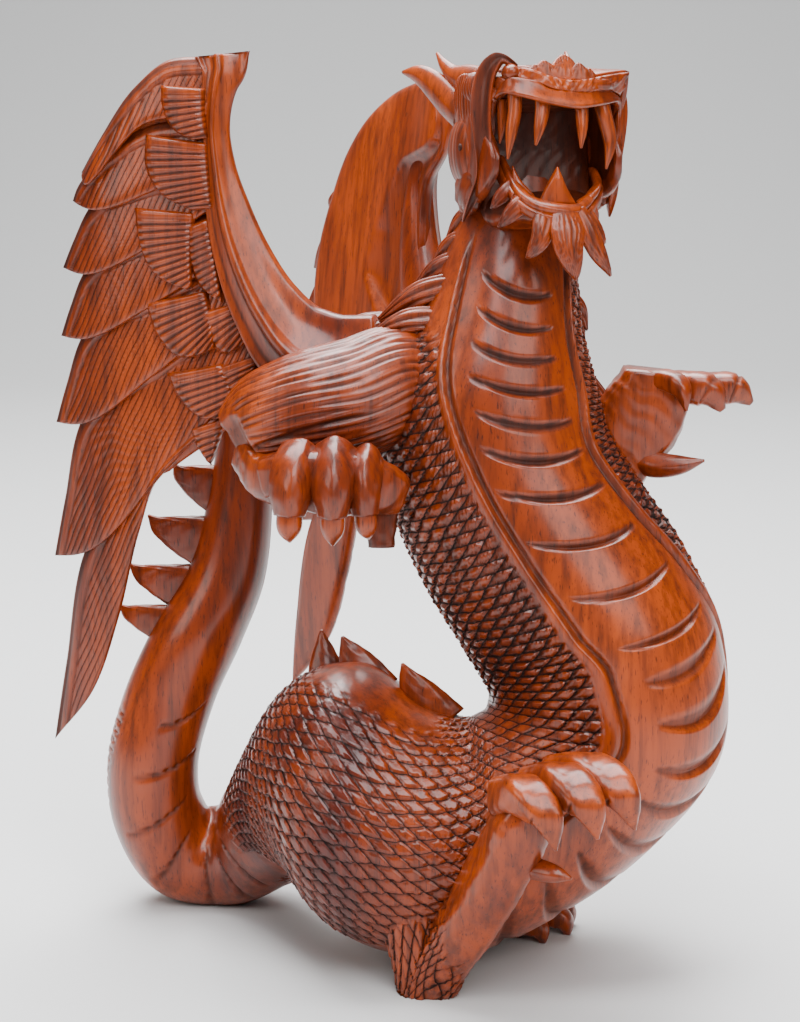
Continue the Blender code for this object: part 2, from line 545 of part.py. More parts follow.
def carve_fins(work):
    """Curved fins along the back and saw-like ones up the outer side of the tail."""
    back = [
        [(18, -2, 106, 13, 4.2), (10, -2, 118, 9, 3.4), (4, -2, 127, 5, 2.2), (1, -2, 134, 0.6, 0.6)],
        [(-12, 6, 118, 13, 4.2), (-19, 8, 130, 9, 3.4), (-23, 10, 137, 5, 2.2), (-26, 11, 143, 0.6, 0.6)],
        [(-32, 20, 112, 11, 4.2), (-34, 25, 124, 8, 3.4), (-35, 28, 133, 4.5, 2.2), (-36, 30, 141, 0.6, 0.6)],
    ]
    for keys in back:
        work.sweep(keys, (0, -1, 0), 6, 6, leaf)
    tail = [
        (-76, 58, 213, -105, 30), (-79, 57, 189, -117, 32), (-86, 56, 166, -126, 30),
        (-100, 54, 147, -131, 24),
    ]
    for x, y, top, tip, tall in tail:
        keys = []
        for share in (0.0, 0.35, 0.7, 0.9, 1.0):
            high = tall * (1 - share) ** 0.6 / 2
            keys.append((x + (tip - x) * share, y, top - high, high, 5.5 - 4.6 * share))
        work.sweep(keys, (0, -1, 0), 8, 8)


def carve_mane(work):
    """Locks that stand off the back of the neck and run down over the shoulder."""
    locks = [
        [(34, 4, 330), (26, 12, 326), (20, 16, 318)], [(30, 6, 318), (20, 14, 313), (13, 19, 303)],
        [(26, 4, 306), (14, 12, 300), (6, 18, 291)], [(22, -4, 298), (8, 0, 292), (-4, 4, 284)],
        [(20, -8, 287), (4, -8, 285), (-13, -4, 280)], [(36, 20, 322), (30, 28, 314), (26, 33, 304)],
        [(32, 22, 304), (24, 32, 296), (18, 38, 286)], [(66, 14, 312), (72, 18, 305), (77, 20, 297)],
        [(68, 14, 296), (76, 18, 289), (82, 22, 280)], [(58, 24, 318), (60, 32, 309), (62, 37, 299)],
        [(52, 28, 300), (54, 38, 291), (54, 44, 281)],
    ]
    for root, middle, tip in locks:
        work.sweep([(*root, 7, 6), (*middle, 6.5, 5), (*tip, 0.8, 0.8)], (0, -1, 0), 8, 8)
    shoulder = [(6, 24, 268, 20, 16), (-8, 18, 274, 18, 15), (-24, 10, 272, 16, 14)]
    work.sweep(shoulder, (0, 0, 1), 5, 10)
    left_shoulder = [(36, 20, 268, 18, 18), (26, 42, 266, 16, 15), (18, 62, 262, 14, 13)]
    work.sweep(left_shoulder, (0, 0, 1), 5, 10)


def mesh_object(name, points, faces, material):
    """A Blender object over points in metres, its faces turned outward."""
    mesh = bpy.data.meshes.new(name)
    mesh.from_pydata([tuple(point) for point in points], [], faces)
    shape = bmesh.new()
    shape.from_mesh(mesh)
    bmesh.ops.recalc_face_normals(shape, faces=shape.faces)
    shape.to_mesh(mesh)
    shape.free()
    mesh.materials.append(material)
    piece = bpy.data.objects.new(name, mesh)
    bpy.context.scene.collection.objects.link(piece)
    return piece


def wood():
    """Oiled and varnished red-brown wood."""
    material = bpy.data.materials.new("varnished_wood")
    material.use_nodes = True
    shader = material.node_tree.nodes["Principled BSDF"]
    shader.inputs["Base Color"].default_value = WOOD_COLOR
    shader.inputs["Roughness"].default_value = WOOD_ROUGHNESS
    shader.inputs["Metallic"].default_value = 0.0
    return material


def helper(name, points, faces, material):
    """A shape that only takes part in the Booleans."""
    piece = mesh_object(name, points, faces, material)
    piece.hide_render = True
    piece.display_type = "WIRE"
    return piece


def boolean(piece, operation, other):
    step = piece.modifiers.new(other.name, "BOOLEAN")
    step.operation = operation
    step.object = other
    step.solver = "EXACT"


def enclosed(faces):
    """The volume inside closed faces with three corners each, below 0 for a hollow."""
    corners = [[corner.co for corner in face.verts] for face in faces]
    return sum(one.dot(other.cross(third)) for one, other, third in corners) / 6


def drop_bubbles(shape):
    """Take away the hollows left inside the skin, and flat specks with less in them than a cell."""
    cell = (SKIN_GRID * MM) ** 3
    seen = set()
    bubbles = []
    for start in shape.faces:
        if start in seen:
            continue
        seen.add(start)
        island = [start]
        for face in island:
            around = [other for edge in face.edges for other in edge.link_faces if other not in seen]
            seen.update(around)
            island += dict.fromkeys(around)
        if enclosed(island) < cell:
            bubbles += island
    bmesh.ops.delete(shape, geom=bubbles, context="FACES")


def ease_crossings(shape):
    """Draw the corners of faces that cut through each other towards their neighbours."""
    for _ in range(EASING_ROUNDS):
        shape.faces.ensure_lookup_table()
        tree = BVHTree.FromBMesh(shape)
        tangled = {}
        for one, other in tree.overlap(tree):
            corners = shape.faces[one].verts[:] + shape.faces[other].verts[:]
            if len(set(corners)) == len(corners):
                tangled.update(dict.fromkeys(corners))
        if not tangled:
            return
        eased = [(vertex, sum((edge.other_vert(vertex).co for edge in vertex.link_edges), Vector())
                  / len(vertex.link_edges)) for vertex in tangled]
        for vertex, place in eased:
            vertex.co = vertex.co.lerp(place, EASING)


def clean_skin(piece):
    """The piece's worked-out mesh as one closed skin that nowhere crosses itself."""
    skin = bpy.data.meshes.new_from_object(piece.evaluated_get(bpy.context.evaluated_depsgraph_get()))
    shape = bmesh.new()
    shape.from_mesh(skin)
    drop_bubbles(shape)
    ease_crossings(shape)
    shape.to_mesh(skin)
    shape.free()
    return skin


def unite(body, growths):
    """One solid from the body and all that grows out of it, flat where it stands."""
    trunk = np.vstack(body.points)
    grown = np.vstack(growths.points)
    low = np.minimum(trunk.min(axis=0), grown.min(axis=0))
    high = np.maximum(trunk.max(axis=0), grown.max(axis=0))
    middle = np.array([(low[0] + high[0]) / 2, (low[1] + high[1]) / 2, 0.0])
    material = wood()
    dragon = mesh_object("dragon", (trunk - middle) * MM, body.faces, material)

    limbs = helper("limbs", (grown - middle) * MM, growths.faces, material)
    blend = limbs.modifiers.new("one_skin", "REMESH")
    blend.mode = "VOXEL"
    blend.voxel_size = SKIN_GRID * MM
    spare = limbs.modifiers.new("spare_faces", "DECIMATE")
    spare.ratio = KEPT_FACES
    spare.use_collapse_triangulate = True
    limbs.data = clean_skin(limbs)
    limbs.modifiers.clear()
    boolean(dragon, "UNION", limbs)

    reach = (high - low).max() * MM
    corners = []
    for z in (-GROUND_DEPTH * MM, 0.0):
        corners += [(-reach, -reach, z), (reach, -reach, z), (reach, reach, z), (-reach, reach, z)]
    faces = [(3, 2, 1, 0), (4, 5, 6, 7), (0, 1, 5, 4), (1, 2, 6, 5), (2, 3, 7, 6), (3, 0, 4, 7)]
    ground = helper("ground_block", corners, faces, material)
    boolean(dragon, "DIFFERENCE", ground)


def main():
    for piece in list(bpy.data.objects):
        bpy.data.objects.remove(piece, do_unlink=True)
    body = Carving()
    carve_body(body)
    growths = Carving()
    carve_head(growths)
    right_wing = WingAxes(RIGHT_WING_AT, RIGHT_WING_YAW, 1)
    left_wing = WingAxes(LEFT_WING_AT, LEFT_WING_YAW, -1, LEFT_WING_SCALE, LEFT_WING_LEAN)
    carve_wing(growths, right_wing, RIGHT_ARM_TOP, BACK_REACH[0])
    carve_wing(growths, left_wing, LEFT_ARM_TOP, BACK_REACH[1])
    carve_arms(growths)
    carve_legs(growths)
    carve_fins(growths)
    carve_mane(growths)
    unite(body, growths)


main()
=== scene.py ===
"""Looks of the carved wooden dragon: fine carving, varnished wood, a pale floor and soft light.

The figure is built again from the same curves as the CAD solid, finely enough for its carving.
Sizes are in millimetres of the figure, as in the CAD source, and MM takes them to metres.
"""
import math

import bpy
import numpy as np
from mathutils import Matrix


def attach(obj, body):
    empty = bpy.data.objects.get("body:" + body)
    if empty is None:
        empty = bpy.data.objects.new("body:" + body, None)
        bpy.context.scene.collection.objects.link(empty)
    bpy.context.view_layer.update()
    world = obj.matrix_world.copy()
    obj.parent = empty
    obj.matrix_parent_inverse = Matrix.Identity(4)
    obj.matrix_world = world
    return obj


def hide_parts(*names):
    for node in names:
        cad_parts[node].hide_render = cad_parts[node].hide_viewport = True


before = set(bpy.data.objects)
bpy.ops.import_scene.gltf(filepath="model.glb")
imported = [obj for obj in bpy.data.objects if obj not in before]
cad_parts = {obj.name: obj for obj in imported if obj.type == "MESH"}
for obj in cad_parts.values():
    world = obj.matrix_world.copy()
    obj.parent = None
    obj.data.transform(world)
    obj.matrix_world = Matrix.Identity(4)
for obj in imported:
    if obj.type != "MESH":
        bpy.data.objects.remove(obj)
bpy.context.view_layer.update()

MM = 0.001
MIDDLE = np.array([-2.901, 37.221, 0.0])   # the row's origin, in the figure's millimetres

# Camera, in the figure's millimetres
CAMERA_AT = (0.0, -1039.8, 424.0)
CAMERA_PITCH = 12.0                        # degrees below level
CAMERA_LENS = 85.0

# Along the spine from head to tail tip:
# centre x, y, z, half width, half depth, and the way the belly faces x, y, z
SPINE = [
    (52, 16, 350, 20, 18, 0.10, -0.98, 0.00),
    (49, 8, 320, 27, 24, 0.10, -0.98, 0.00),
    (44, 4, 287, 36, 31, 0.15, -0.97, 0.05),
    (39, 4, 256, 48, 40, 0.30, -0.92, 0.12),
    (43, 4, 225, 51, 45, 0.38, -0.90, 0.12),
    (58, 2, 194, 53, 49, 0.45, -0.87, 0.13),
    (77, 0, 164, 54, 52, 0.53, -0.83, 0.16),
    (91, -2, 134, 54, 52, 0.66, -0.71, 0.23),
    (91, -4, 105, 53, 53, 0.76, -0.63, -0.09),
    (76, -6, 83, 53, 47, 0.65, -0.62, -0.44),
    (56, -8, 68, 53, 47, 0.38, -0.59, -0.69),
    (31, -10, 57, 54, 52, 0.04, -0.40, -0.92),
    (3, -12, 61, 56, 56, -0.10, -0.16, -0.97),
    (-20, -8, 75, 55, 59, -0.05, -0.20, -0.97),
    (-34, 9, 76, 42, 49, 0.00, -0.40, -0.91),
    (-48, 29, 60, 33, 38, -0.20, -0.75, -0.62),
    (-65, 46, 38, 27, 29, -0.20, -0.90, -0.38),
    (-84, 57, 22.5, 24, 24, 0.00, -0.98, -0.20),
    (-103, 58, 24.5, 23.5, 22, 0.30, -0.95, 0.10),
    (-115, 54, 45, 22, 22, 0.60, -0.80, 0.10),
    (-117, 52, 69, 21, 22, 0.80, -0.60, 0.00),
    (-109, 53, 101, 20, 22, 0.92, -0.38, 0.00),
    (-95, 55, 132, 21.5, 21, 0.94, -0.32, -0.10),
    (-81, 57, 161, 18, 18, 0.95, -0.25, -0.15),
    (-75, 58, 190, 15, 15.5, 0.96, -0.20, -0.10),
    (-73, 58, 215, 12, 13, 0.97, -0.20, 0.00),
    (-75, 56, 236, 8, 9, 0.97, -0.20, 0.00),
    (-80, 52, 252, 1.2, 1.5, 0.97, -0.20, 0.00),
]
BEND_EASE = 27.0              # length over which the rings' turning is averaged
SPINE_CENTRES = 400           # rings that the averaging is worked out on

# The body's surface: where each piece starts along the spine, and its steps along and round it
BODY_PIECES = (
    ("neck", 0.0, 1.3, 1), ("trunk", 165.0, 1.0, 1), ("haunch", 325.0, 1.0, 1), ("tail", 480.0, 1.7, 2),
)
BODY_SIDES = 320

# How much wider than asked for the points of all other forms lie apart
SPACING = 1.08

# Belly plates: where the middle of each cut lies along the spine, and how much later its end on
# the figure's left comes than the one on its right
PLATE_CUTS = [
    (52, 5), (67, 5), (82, 4), (97, 8), (112, 12), (127, 12), (144, 16), (167, 16), (192, 8), (219, -3),
    (234.5, -12), (249, -13), (263, -16), (277, -12), (291, -8), (305, -4), (319, 0), (333, 0), (347, 0),
]
PLATE_SAG = 5.5               # how far the ends of a cut lie ahead of its middle
PLATE_DEPTH = 2.6
PLATE_WALL = 3.6              # length of the sloping upper wall of a cut, and of its steep lower one
PLATE_FOOT = 0.8
# Along the spine: half angles of the plate cuts, the groove beside them, and the start of the scales
BORDERS = [
    (40, 31, 48, 54), (58, 29, 45, 51), (97, 27, 37.5, 44), (123, 27, 31.5, 38.5), (161, 26.5, 31, 38),
    (205, 28, 37, 45), (248, 30, 46, 56), (300, 32, 50, 62), (335, 33, 49, 60), (362, 33, 40, 36),
    (480, 33, 20, 20),
]
STRIP_END = (325.0, 350.0)    # where the belly's strip and its rims fade out
STRIP_RISE = 0.9              # how far its middle bulges
BORDER_DEPTH = 1.7            # depth and half width of the groove beside it
BORDER_HALF = 1.9
RIM_RISE = 1.5

# Scales along the spine: degrees that they lean from the spine toward the belly, length, width,
# half width of the groove as a share of a scale, and height
SCALES = [
    (30, 58, 14, 4.8, 0.20, 1.4), (100, 61, 16, 4.9, 0.23, 1.8), (160, 70, 17.5, 5.0, 0.25, 2.1),
    (235, 70, 18, 5.2, 0.24, 2.1), (262, 60, 17, 5.4, 0.20, 1.8), (290, 42, 16, 5.4, 0.16, 1.6),
    (345, 36, 14.5, 5.6, 0.14, 1.4), (385, 9, 13.5, 5.8, 0.13, 1.4), (430, 20, 13, 5.8, 0.13, 1.3),
    (492, 28, 12, 5.6, 0.13, 1.2),
]
SCALE_BULGE = 0.09            # how far the edges of a scale bow out, as a share of a scale
SCALE_CORNER = 9.0            # how sharp the corners of a scale are
PATTERN_FROM = 28.0           # grid that the scales' pattern is fitted on: from, to and step along
PATTERN_TO = 500.0
PATTERN_STEP = 7.0
PATTERN_COLUMNS = 19          # and its columns from the belly to the back
SCALES_END = 486.0
NECK_BARE = 66.0              # down to here the figure's right side of the neck has no scales
BAND_FROM = 352.0             # the smooth band along the back of the haunch: from, to, half angle
BAND_TO = 412.0
BAND_HALF = 34.0
FINE = np.arange(0.0, 800.0, 1.0)       # places along the spine where its tables are read

# Cuts across the tail: place along the spine, degrees that each reaches, and its middle round the tail
TAIL_CUTS = [
    (484, 40, 10), (500, 40, -5), (517, 42, -18), (536, 42, -30), (556, 44, -36), (580, 40, -36),
    (603, 26, -40),
]
TAIL_CUT_DEPTH = 1.5
TAIL_CUT_WALL = 2.6           # length of a cut's sloping wall, and of its steep one
TAIL_CUT_FOOT = 0.9
TAIL_SCALE = 4.4              # length of the small scales up the tail
TAIL_GROOVE = 0.14            # half width of their groove as a share of a scale

# The head's own axes: forward out of the mouth, left, up
HEAD_AT = (61, -18, 361)
HEAD_YAW = 20.0               # degrees that the mouth turns from the front, toward the figure's left
HEAD_PITCH = 5.0
HEAD_MIDDLE = 4.0             # the mouth's middle lies this far to the figure's left of the head's axis

# The wings' planes: out along the wing, up, and the carved face
RIGHT_WING_AT = (-26, 8, 275.5)
RIGHT_WING_YAW = 169.7        # degrees of the outward direction, seen from above
LEFT_WING_AT = (25, 66, 262)
LEFT_WING_YAW = 118.0
LEFT_WING_SCALE = 0.98
LEFT_WING_LEAN = 0.13         # share of its upper height by which it leans to the figure's left
WING_BEND_FROM = 45.0         # beyond this distance out, the feathers curve back
WING_BEND = 0.0019

# A wing's outline in its own plane: out, up
FEATHER_TIPS = [(119, 73), (124, 60), (130, 30), (132, -1), (136, -41), (139, -104), (142, -193)]
FEATHER_NOTCHES = [(92, 111), (117.5, 72), (114, 60), (118, 31), (120, 2), (122, -37), (122, -97)]
FEATHER_ROOTS = [(60, 124), (54, 98), (55, 80), (54, 60), (50, 38), (44, 18), (34, -6), (24, -34)]
FEATHER_LIFTS = [4.5, 9, 1, 1, 1, 1, 1]      # how far the middle of an upper edge lies above a straight line
FEATHER_SAGS = [-12, 3, 3, 3, 3, 3]         # how far the middle of a lower edge lies below one
LAST_FEATHER_EDGE = [(24, -34), (68, -46), (84, -62), (94, -88), (105, -128), (120, -166)]
FEATHER_THICK = 3.4           # half thickness of a feather
FEATHER_TILT = 2.2            # how far a feather's lower edge stands forward of its upper one

# Leading edge of a wing: out, up, forward, half width, half thickness
WING_ARM = [
    (-16, -8, 2, 22, 15), (2, -8, 2, 22, 14), (19, 0, 2, 20, 13), (32, 16, 2, 16, 12),
    (43, 38, 1, 12.5, 11), (50, 60, 0, 9.5, 9), (53, 78, 0, 6.5, 7.5),
]
RIGHT_ARM_TOP = [
    (54.5, 95, 0, 6, 6.5), (52.5, 112, 0, 8, 5.5), (51, 119, 0, 10.5, 4), (51.5, 125, 0, 12.5, 2.5),
]
LEFT_ARM_TOP = [(50, 95, 0, 10, 6), (46, 110, 0, 15, 4.5), (44, 120, 0, 18, 1.5)]

# The smooth backs of the wings, each between two edges: out, up
WING_BACK_AT = -3.4           # how far forward of the wing's plane they lie
RIGHT_BACK = (
    [(54, 112), (54, 95), (53, 78), (50, 60), (43, 38), (32, 12), (40, -25), (80, -60)],
    [(97, 100), (108, 84), (116, 57), (119, 28), (122, -2), (123, -44), (120, -60), (112, -75)],
)
LEFT_BACK = (
    [(60, -30), (46, 2), (48, 24), (36, 47), (39.5, 65), (40, 78), (30, 94), (31, 113), (40, 124)],
    [(116, -30), (119, 2), (122, 26), (121.5, 46), (118, 65), (109.5, 91), (98, 107), (81, 119),
     (61, 125.5), (45, 127)],
)
# The ridge down the left wing's back: shares of its length, and how far across it lies
BACK_RIDGE = (
    (0.0, 0.25, 0.38, 0.52, 0.62, 0.75, 0.88, 1.0),
    (-0.95, -0.75, -0.16, -0.05, -0.2, -0.35, -0.85, -0.98),
)

# Smaller feathers that cover the roots of the long ones, each between two edges: out, up
COVERTS = [
    ([(58, 110.4), (58, 100), (57, 89.4)], [(78.6, 111.6), (77.9, 100.9), (73.4, 93.2), (64.2, 88.5)]),
    ([(57, 87), (56, 72), (55, 58.7)], [(86.2, 90.4), (86.5, 76.9), (81, 66.2), (69.5, 59.9), (64.4, 58)]),
    ([(57, 55), (53, 35), (51.8, 18.6)], [(67.4, 51), (67, 36), (62, 25), (51.8, 18)]),
    ([(63.5, 57), (65, 40), (65.5, 23.6)],
     [(92.2, 58.4), (90.2, 41.7), (84.2, 30.9), (72.5, 24.7), (65.5, 23)]),
    ([(45.3, 18.4), (41, 8), (40.7, 1.2)], [(63, 13), (58.1, 0.7), (52.2, -4.4), (40.7, 0.5)]),
    ([(58.9, 23), (56, 10), (55.7, -1.4)],
     [(87.9, 16.6), (82.5, 2.1), (73.1, -6.5), (63.7, -5.8), (55.7, -2)]),
    ([(30.6, -2.9), (38, -12), (43.7, -21.1)], [(54.2, -11), (52, -17), (48.8, -20), (43.7, -22)]),
    ([(50.7, -33), (54, -44), (58, -54)], [(68, -39), (65, -46), (61.8, -50.7), (58, -54.5)]),
    ([(51.6, -9), (47.5, -16), (46, -22), (50.6, -32.6)],
     [(78.5, -14.4), (73.5, -24.5), (61.9, -33.5), (50.6, -33)]),
]
COVERT_BAND = 3.2             # the smooth band at a covert's top
COVERT_RIB = 2.85             # spacing of its ribs
COVERT_FORWARD = 3.5          # how far forward of the wing's plane a covert starts, and its rise
COVERT_RISE = 2.5
BARB_SPACING = 2.7
BARB_WAY = (0.90, 0.43)       # square to the barbs: out, up
QUILL = (3.6, 7.2)            # the raised quill band below the feather above: from, to

# Toes, hair and leaves
TOE_STEP = 0.8                # distance of the rings of a clawed toe
ARM_STRANDS = 44              # strands of hair round the right upper arm
LEAF_ROWS_ANKLE = 20          # leaves round the ankle, and round the lower end of the foot
LEAF_ROWS_FOOT = 18
LEAF_LENGTH = 13.0
LEAF_GROOVE = 0.20

# Colours of the wood
WOOD_RED = (0.078, 0.0062, 0.0008, 1.0)
WOOD_AMBER = (0.34, 0.046, 0.001, 1.0)
WOOD_DARK = (0.022, 0.004, 0.0015, 1.0)
WOOD_PORE = (0.012, 0.003, 0.002, 1.0)
# colour of the dark staining in cuts, also used for painted shade
WOOD_STAIN_AND_SHADE = (0.004, 0.0015, 0.001, 1.0)

# Patterns in the wood: repeats per metre, the share of those up the block, detail, roughness, distortion
WOOD_FIGURE = (22.0, 0.22, 4.0, 0.6, 0.6)
WOOD_STREAKS = (260.0, 0.05, 3.0, 0.6, 0.0)
WOOD_PORES = (1500.0, 0.10, 2.0, 0.5, 0.0)
WOOD_CLOUDS = (9.0, 0.6, 2.0, 0.5, 0.0)
WOOD_WAVES = (120.0, 0.5, 2.0, 0.55, 0.0)
WOOD_ROUGHNESS = 0.34
VARNISH = 0.55                # weight of the varnish where no stain lies
WOOD_SHINE = 0.2              # specular level under the varnish
VARNISH_ROUGHNESS = 0.2
VARNISH_IOR = 1.5
GRAIN_STRENGTH = 0.6          # how strongly the fine relief of the grain shows, and its depth in metres
GRAIN_DEPTH = 0.0008

# Floor, in metres: it runs back from the front, bends up behind the figure and ends as a wall
FLOOR_FRONT = -3.0
FLOOR_BACK = 1.6
FLOOR_BEND = 0.9
FLOOR_HALF = 3.5              # half its width
WALL_TOP = 3.2
FLOOR_COLOR = (0.58, 0.58, 0.575, 1.0)
FLOOR_ROUGHNESS = 0.7
SKY_COLOR = (0.90, 0.95, 1.0, 1.0)
SKY_STRENGTH = 0.10

# Soft square lights: name, place and size in metres, power in watts, and colour
LIGHTS = (
    ("top", (-0.1, 0.25, 1.4), 1.2, 75.0, (0.97, 0.98, 1.0)),
    ("front_top", (0.15, -1.05, 1.45), 1.0, 30.0, (0.96, 0.97, 1.0)),
    ("front_right", (0.95, -1.25, 0.95), 0.9, 12.0, (1.0, 0.96, 0.92)),
    ("front_left", (-1.2, -0.9, 0.9), 0.8, 9.0, (1.0, 0.95, 0.90)),
    ("back", (0.0, 1.3, 1.9), 1.6, 45.0, (1.0, 1.0, 1.0)),
)
LIT = (0.0, 0.0, 0.2)         # where they all point


def unit(vectors):
    """Vectors of length one, along the last axis."""
    vectors = np.asarray(vectors, float)
    return vectors / np.maximum(np.linalg.norm(vectors, axis=-1, keepdims=True), 1e-9)


def step_up(low, high, value):
    """0 below low, 1 above high, and smooth between them."""
    share = held((value - low) / (high - low))
    return share * share * (3.0 - 2.0 * share)


def step_down(low, high, value):
    """1 below low, 0 above high, and smooth between them."""
    return 1 - step_up(low, high, value)


def held(value):
    """A value held between 0 and 1."""
    return np.clip(value, 0.0, 1.0)


def signed(angle):
    """An angle of up to a full turn, as one between minus and plus half a turn."""
    return np.where(angle > np.pi, angle - 2 * np.pi, angle)


def even(count):
    """Shares of a length at even steps, both ends included."""
    return np.linspace(0.0, 1.0, count)


def lengths_along(points):
    """The distance walked along a row of points, at each of them."""
    steps = np.linalg.norm(np.diff(points, axis=0), axis=1)
    return np.concatenate(([0.0], np.cumsum(steps)))


def between(rows, places, at):
    """Rows that stand at some places, read smoothly at other ones."""
    slopes = np.gradient(rows, places, axis=0)
    first = np.clip(np.searchsorted(places, at, side="right") - 1, 0, len(places) - 2)
    gap = (places[first + 1] - places[first])[:, None]
    f = (at - places[first])[:, None] / gap
    start = rows[first] * (1 + 2 * f) * (1 - f) ** 2 + slopes[first] * gap * f * (1 - f) ** 2
    end = rows[first + 1] * f * f * (3 - 2 * f) + slopes[first + 1] * gap * f * f * (f - 1)
    return start + end


def curve(keys, shares):
    """Rows read at shares of the length of a smooth curve through the rows of keys, x y z first."""
    keys = np.array(keys, float)
    along = lengths_along(keys[:, :3])
    return between(keys, along, along[-1] * shares)


def table(rows, at):
    """Columns of a table read at places along its first column, smoothly."""
    rows = np.array(rows, float)
    return between(rows[:, 1:], rows[:, 0], np.clip(at, rows[0, 0], rows[-1, 0])).T


def near_whole(phase):
    """Distance of a phase from the nearest whole number."""
    return np.abs(phase - np.round(phase))


def line_at(phase, width, full=1.0):
    """1 where a phase is a whole number, falling to 0 at about a width from it.

    full above 1 widens the part that stays at 1.
    """
    return held(full - near_whole(phase) / width)


def section(depth_power, width_power):
    """A ring's shape: powers below 1 make it boxy, and powers above 1 give it a ridge."""
    def shape(angle):
        parts = ((np.cos(angle), depth_power), (np.sin(angle), width_power))
        return [np.sign(part) * np.abs(part) ** power for part, power in parts]
    return shape


OVAL = section(1, 1)
LEAF = section(1.4, 1)
BOXY = section(0.6, 0.6)
KEEL = section(1.35, 1.35)
RIDGED = section(1.7, 1.25)


def ring_axes(rows, facing):
    """Front and side directions of the rings round each row, square to the path."""
    along = unit(np.gradient(rows[:, :3], axis=0))
    front = unit(np.broadcast_to(facing, along.shape))
    front = unit(front - (front * along).sum(axis=1, keepdims=True) * along)
    return front, unit(np.cross(along, front))


def ring_points(rows, front, side, angle, section=OVAL):
    """Rings of points round each row: centre x, y, z, half width, half depth."""
    depth, width = section(angle)
    out = front[:, None, :] * (depth[None, :] * rows[:, 4:5])[:, :, None]
    out = out + side[:, None, :] * (width[None, :] * rows[:, 3:4])[:, :, None]
    return rows[:, None, :3] + out


def faces_out(rings):
    """Whether faces that run round the rings, then on to the next one, look outward."""
    along = np.gradient(rings, axis=0)
    around = np.roll(rings, -1, axis=1) - rings
    return (np.cross(around, along) * (rings - rings.mean(axis=1, keepdims=True))).sum() >= 0


def grid_normals(rings):
    """Outward directions of the skin over a row of rings."""
    along = np.gradient(rings, axis=0)
    around = np.roll(rings, -1, axis=1) - np.roll(rings, 1, axis=1)
    normal = unit(np.cross(around, along))
    outward = (normal * (rings - rings.mean(axis=1, keepdims=True))).sum()
    return normal if outward >= 0 else -normal


def relief(rings, height):
    """Rings moved out along their own normals by a height in millimetres."""
    return rings + grid_normals(rings) * height[:, :, None]


class Axes:
    """A place in the figure with three directions of its own."""

    def __init__(self, at=(0, 0, 0), x=(1, 0, 0), y=(0, 1, 0), z=(0, 0, 1)):
        self.at = np.array(at, float)
        self.table = np.array([x, y, z], float)

    def out(self, points):
        """Points given on these axes, as points of the figure."""
        return self.at + np.asarray(points, float) @ self.table


FIGURE = Axes()
FIELDS = 6                    # columns of a form's fields: four of its cut, then the darkening (dark staining and painted shade) and the tint
DARK = 4
TINT = 5
LEAST_HALF = 0.25             # no form is thinner than this from its middle, no plate narrower or thinner
LEAST_WIDTH = 0.35
LEAST_THICK = 0.3


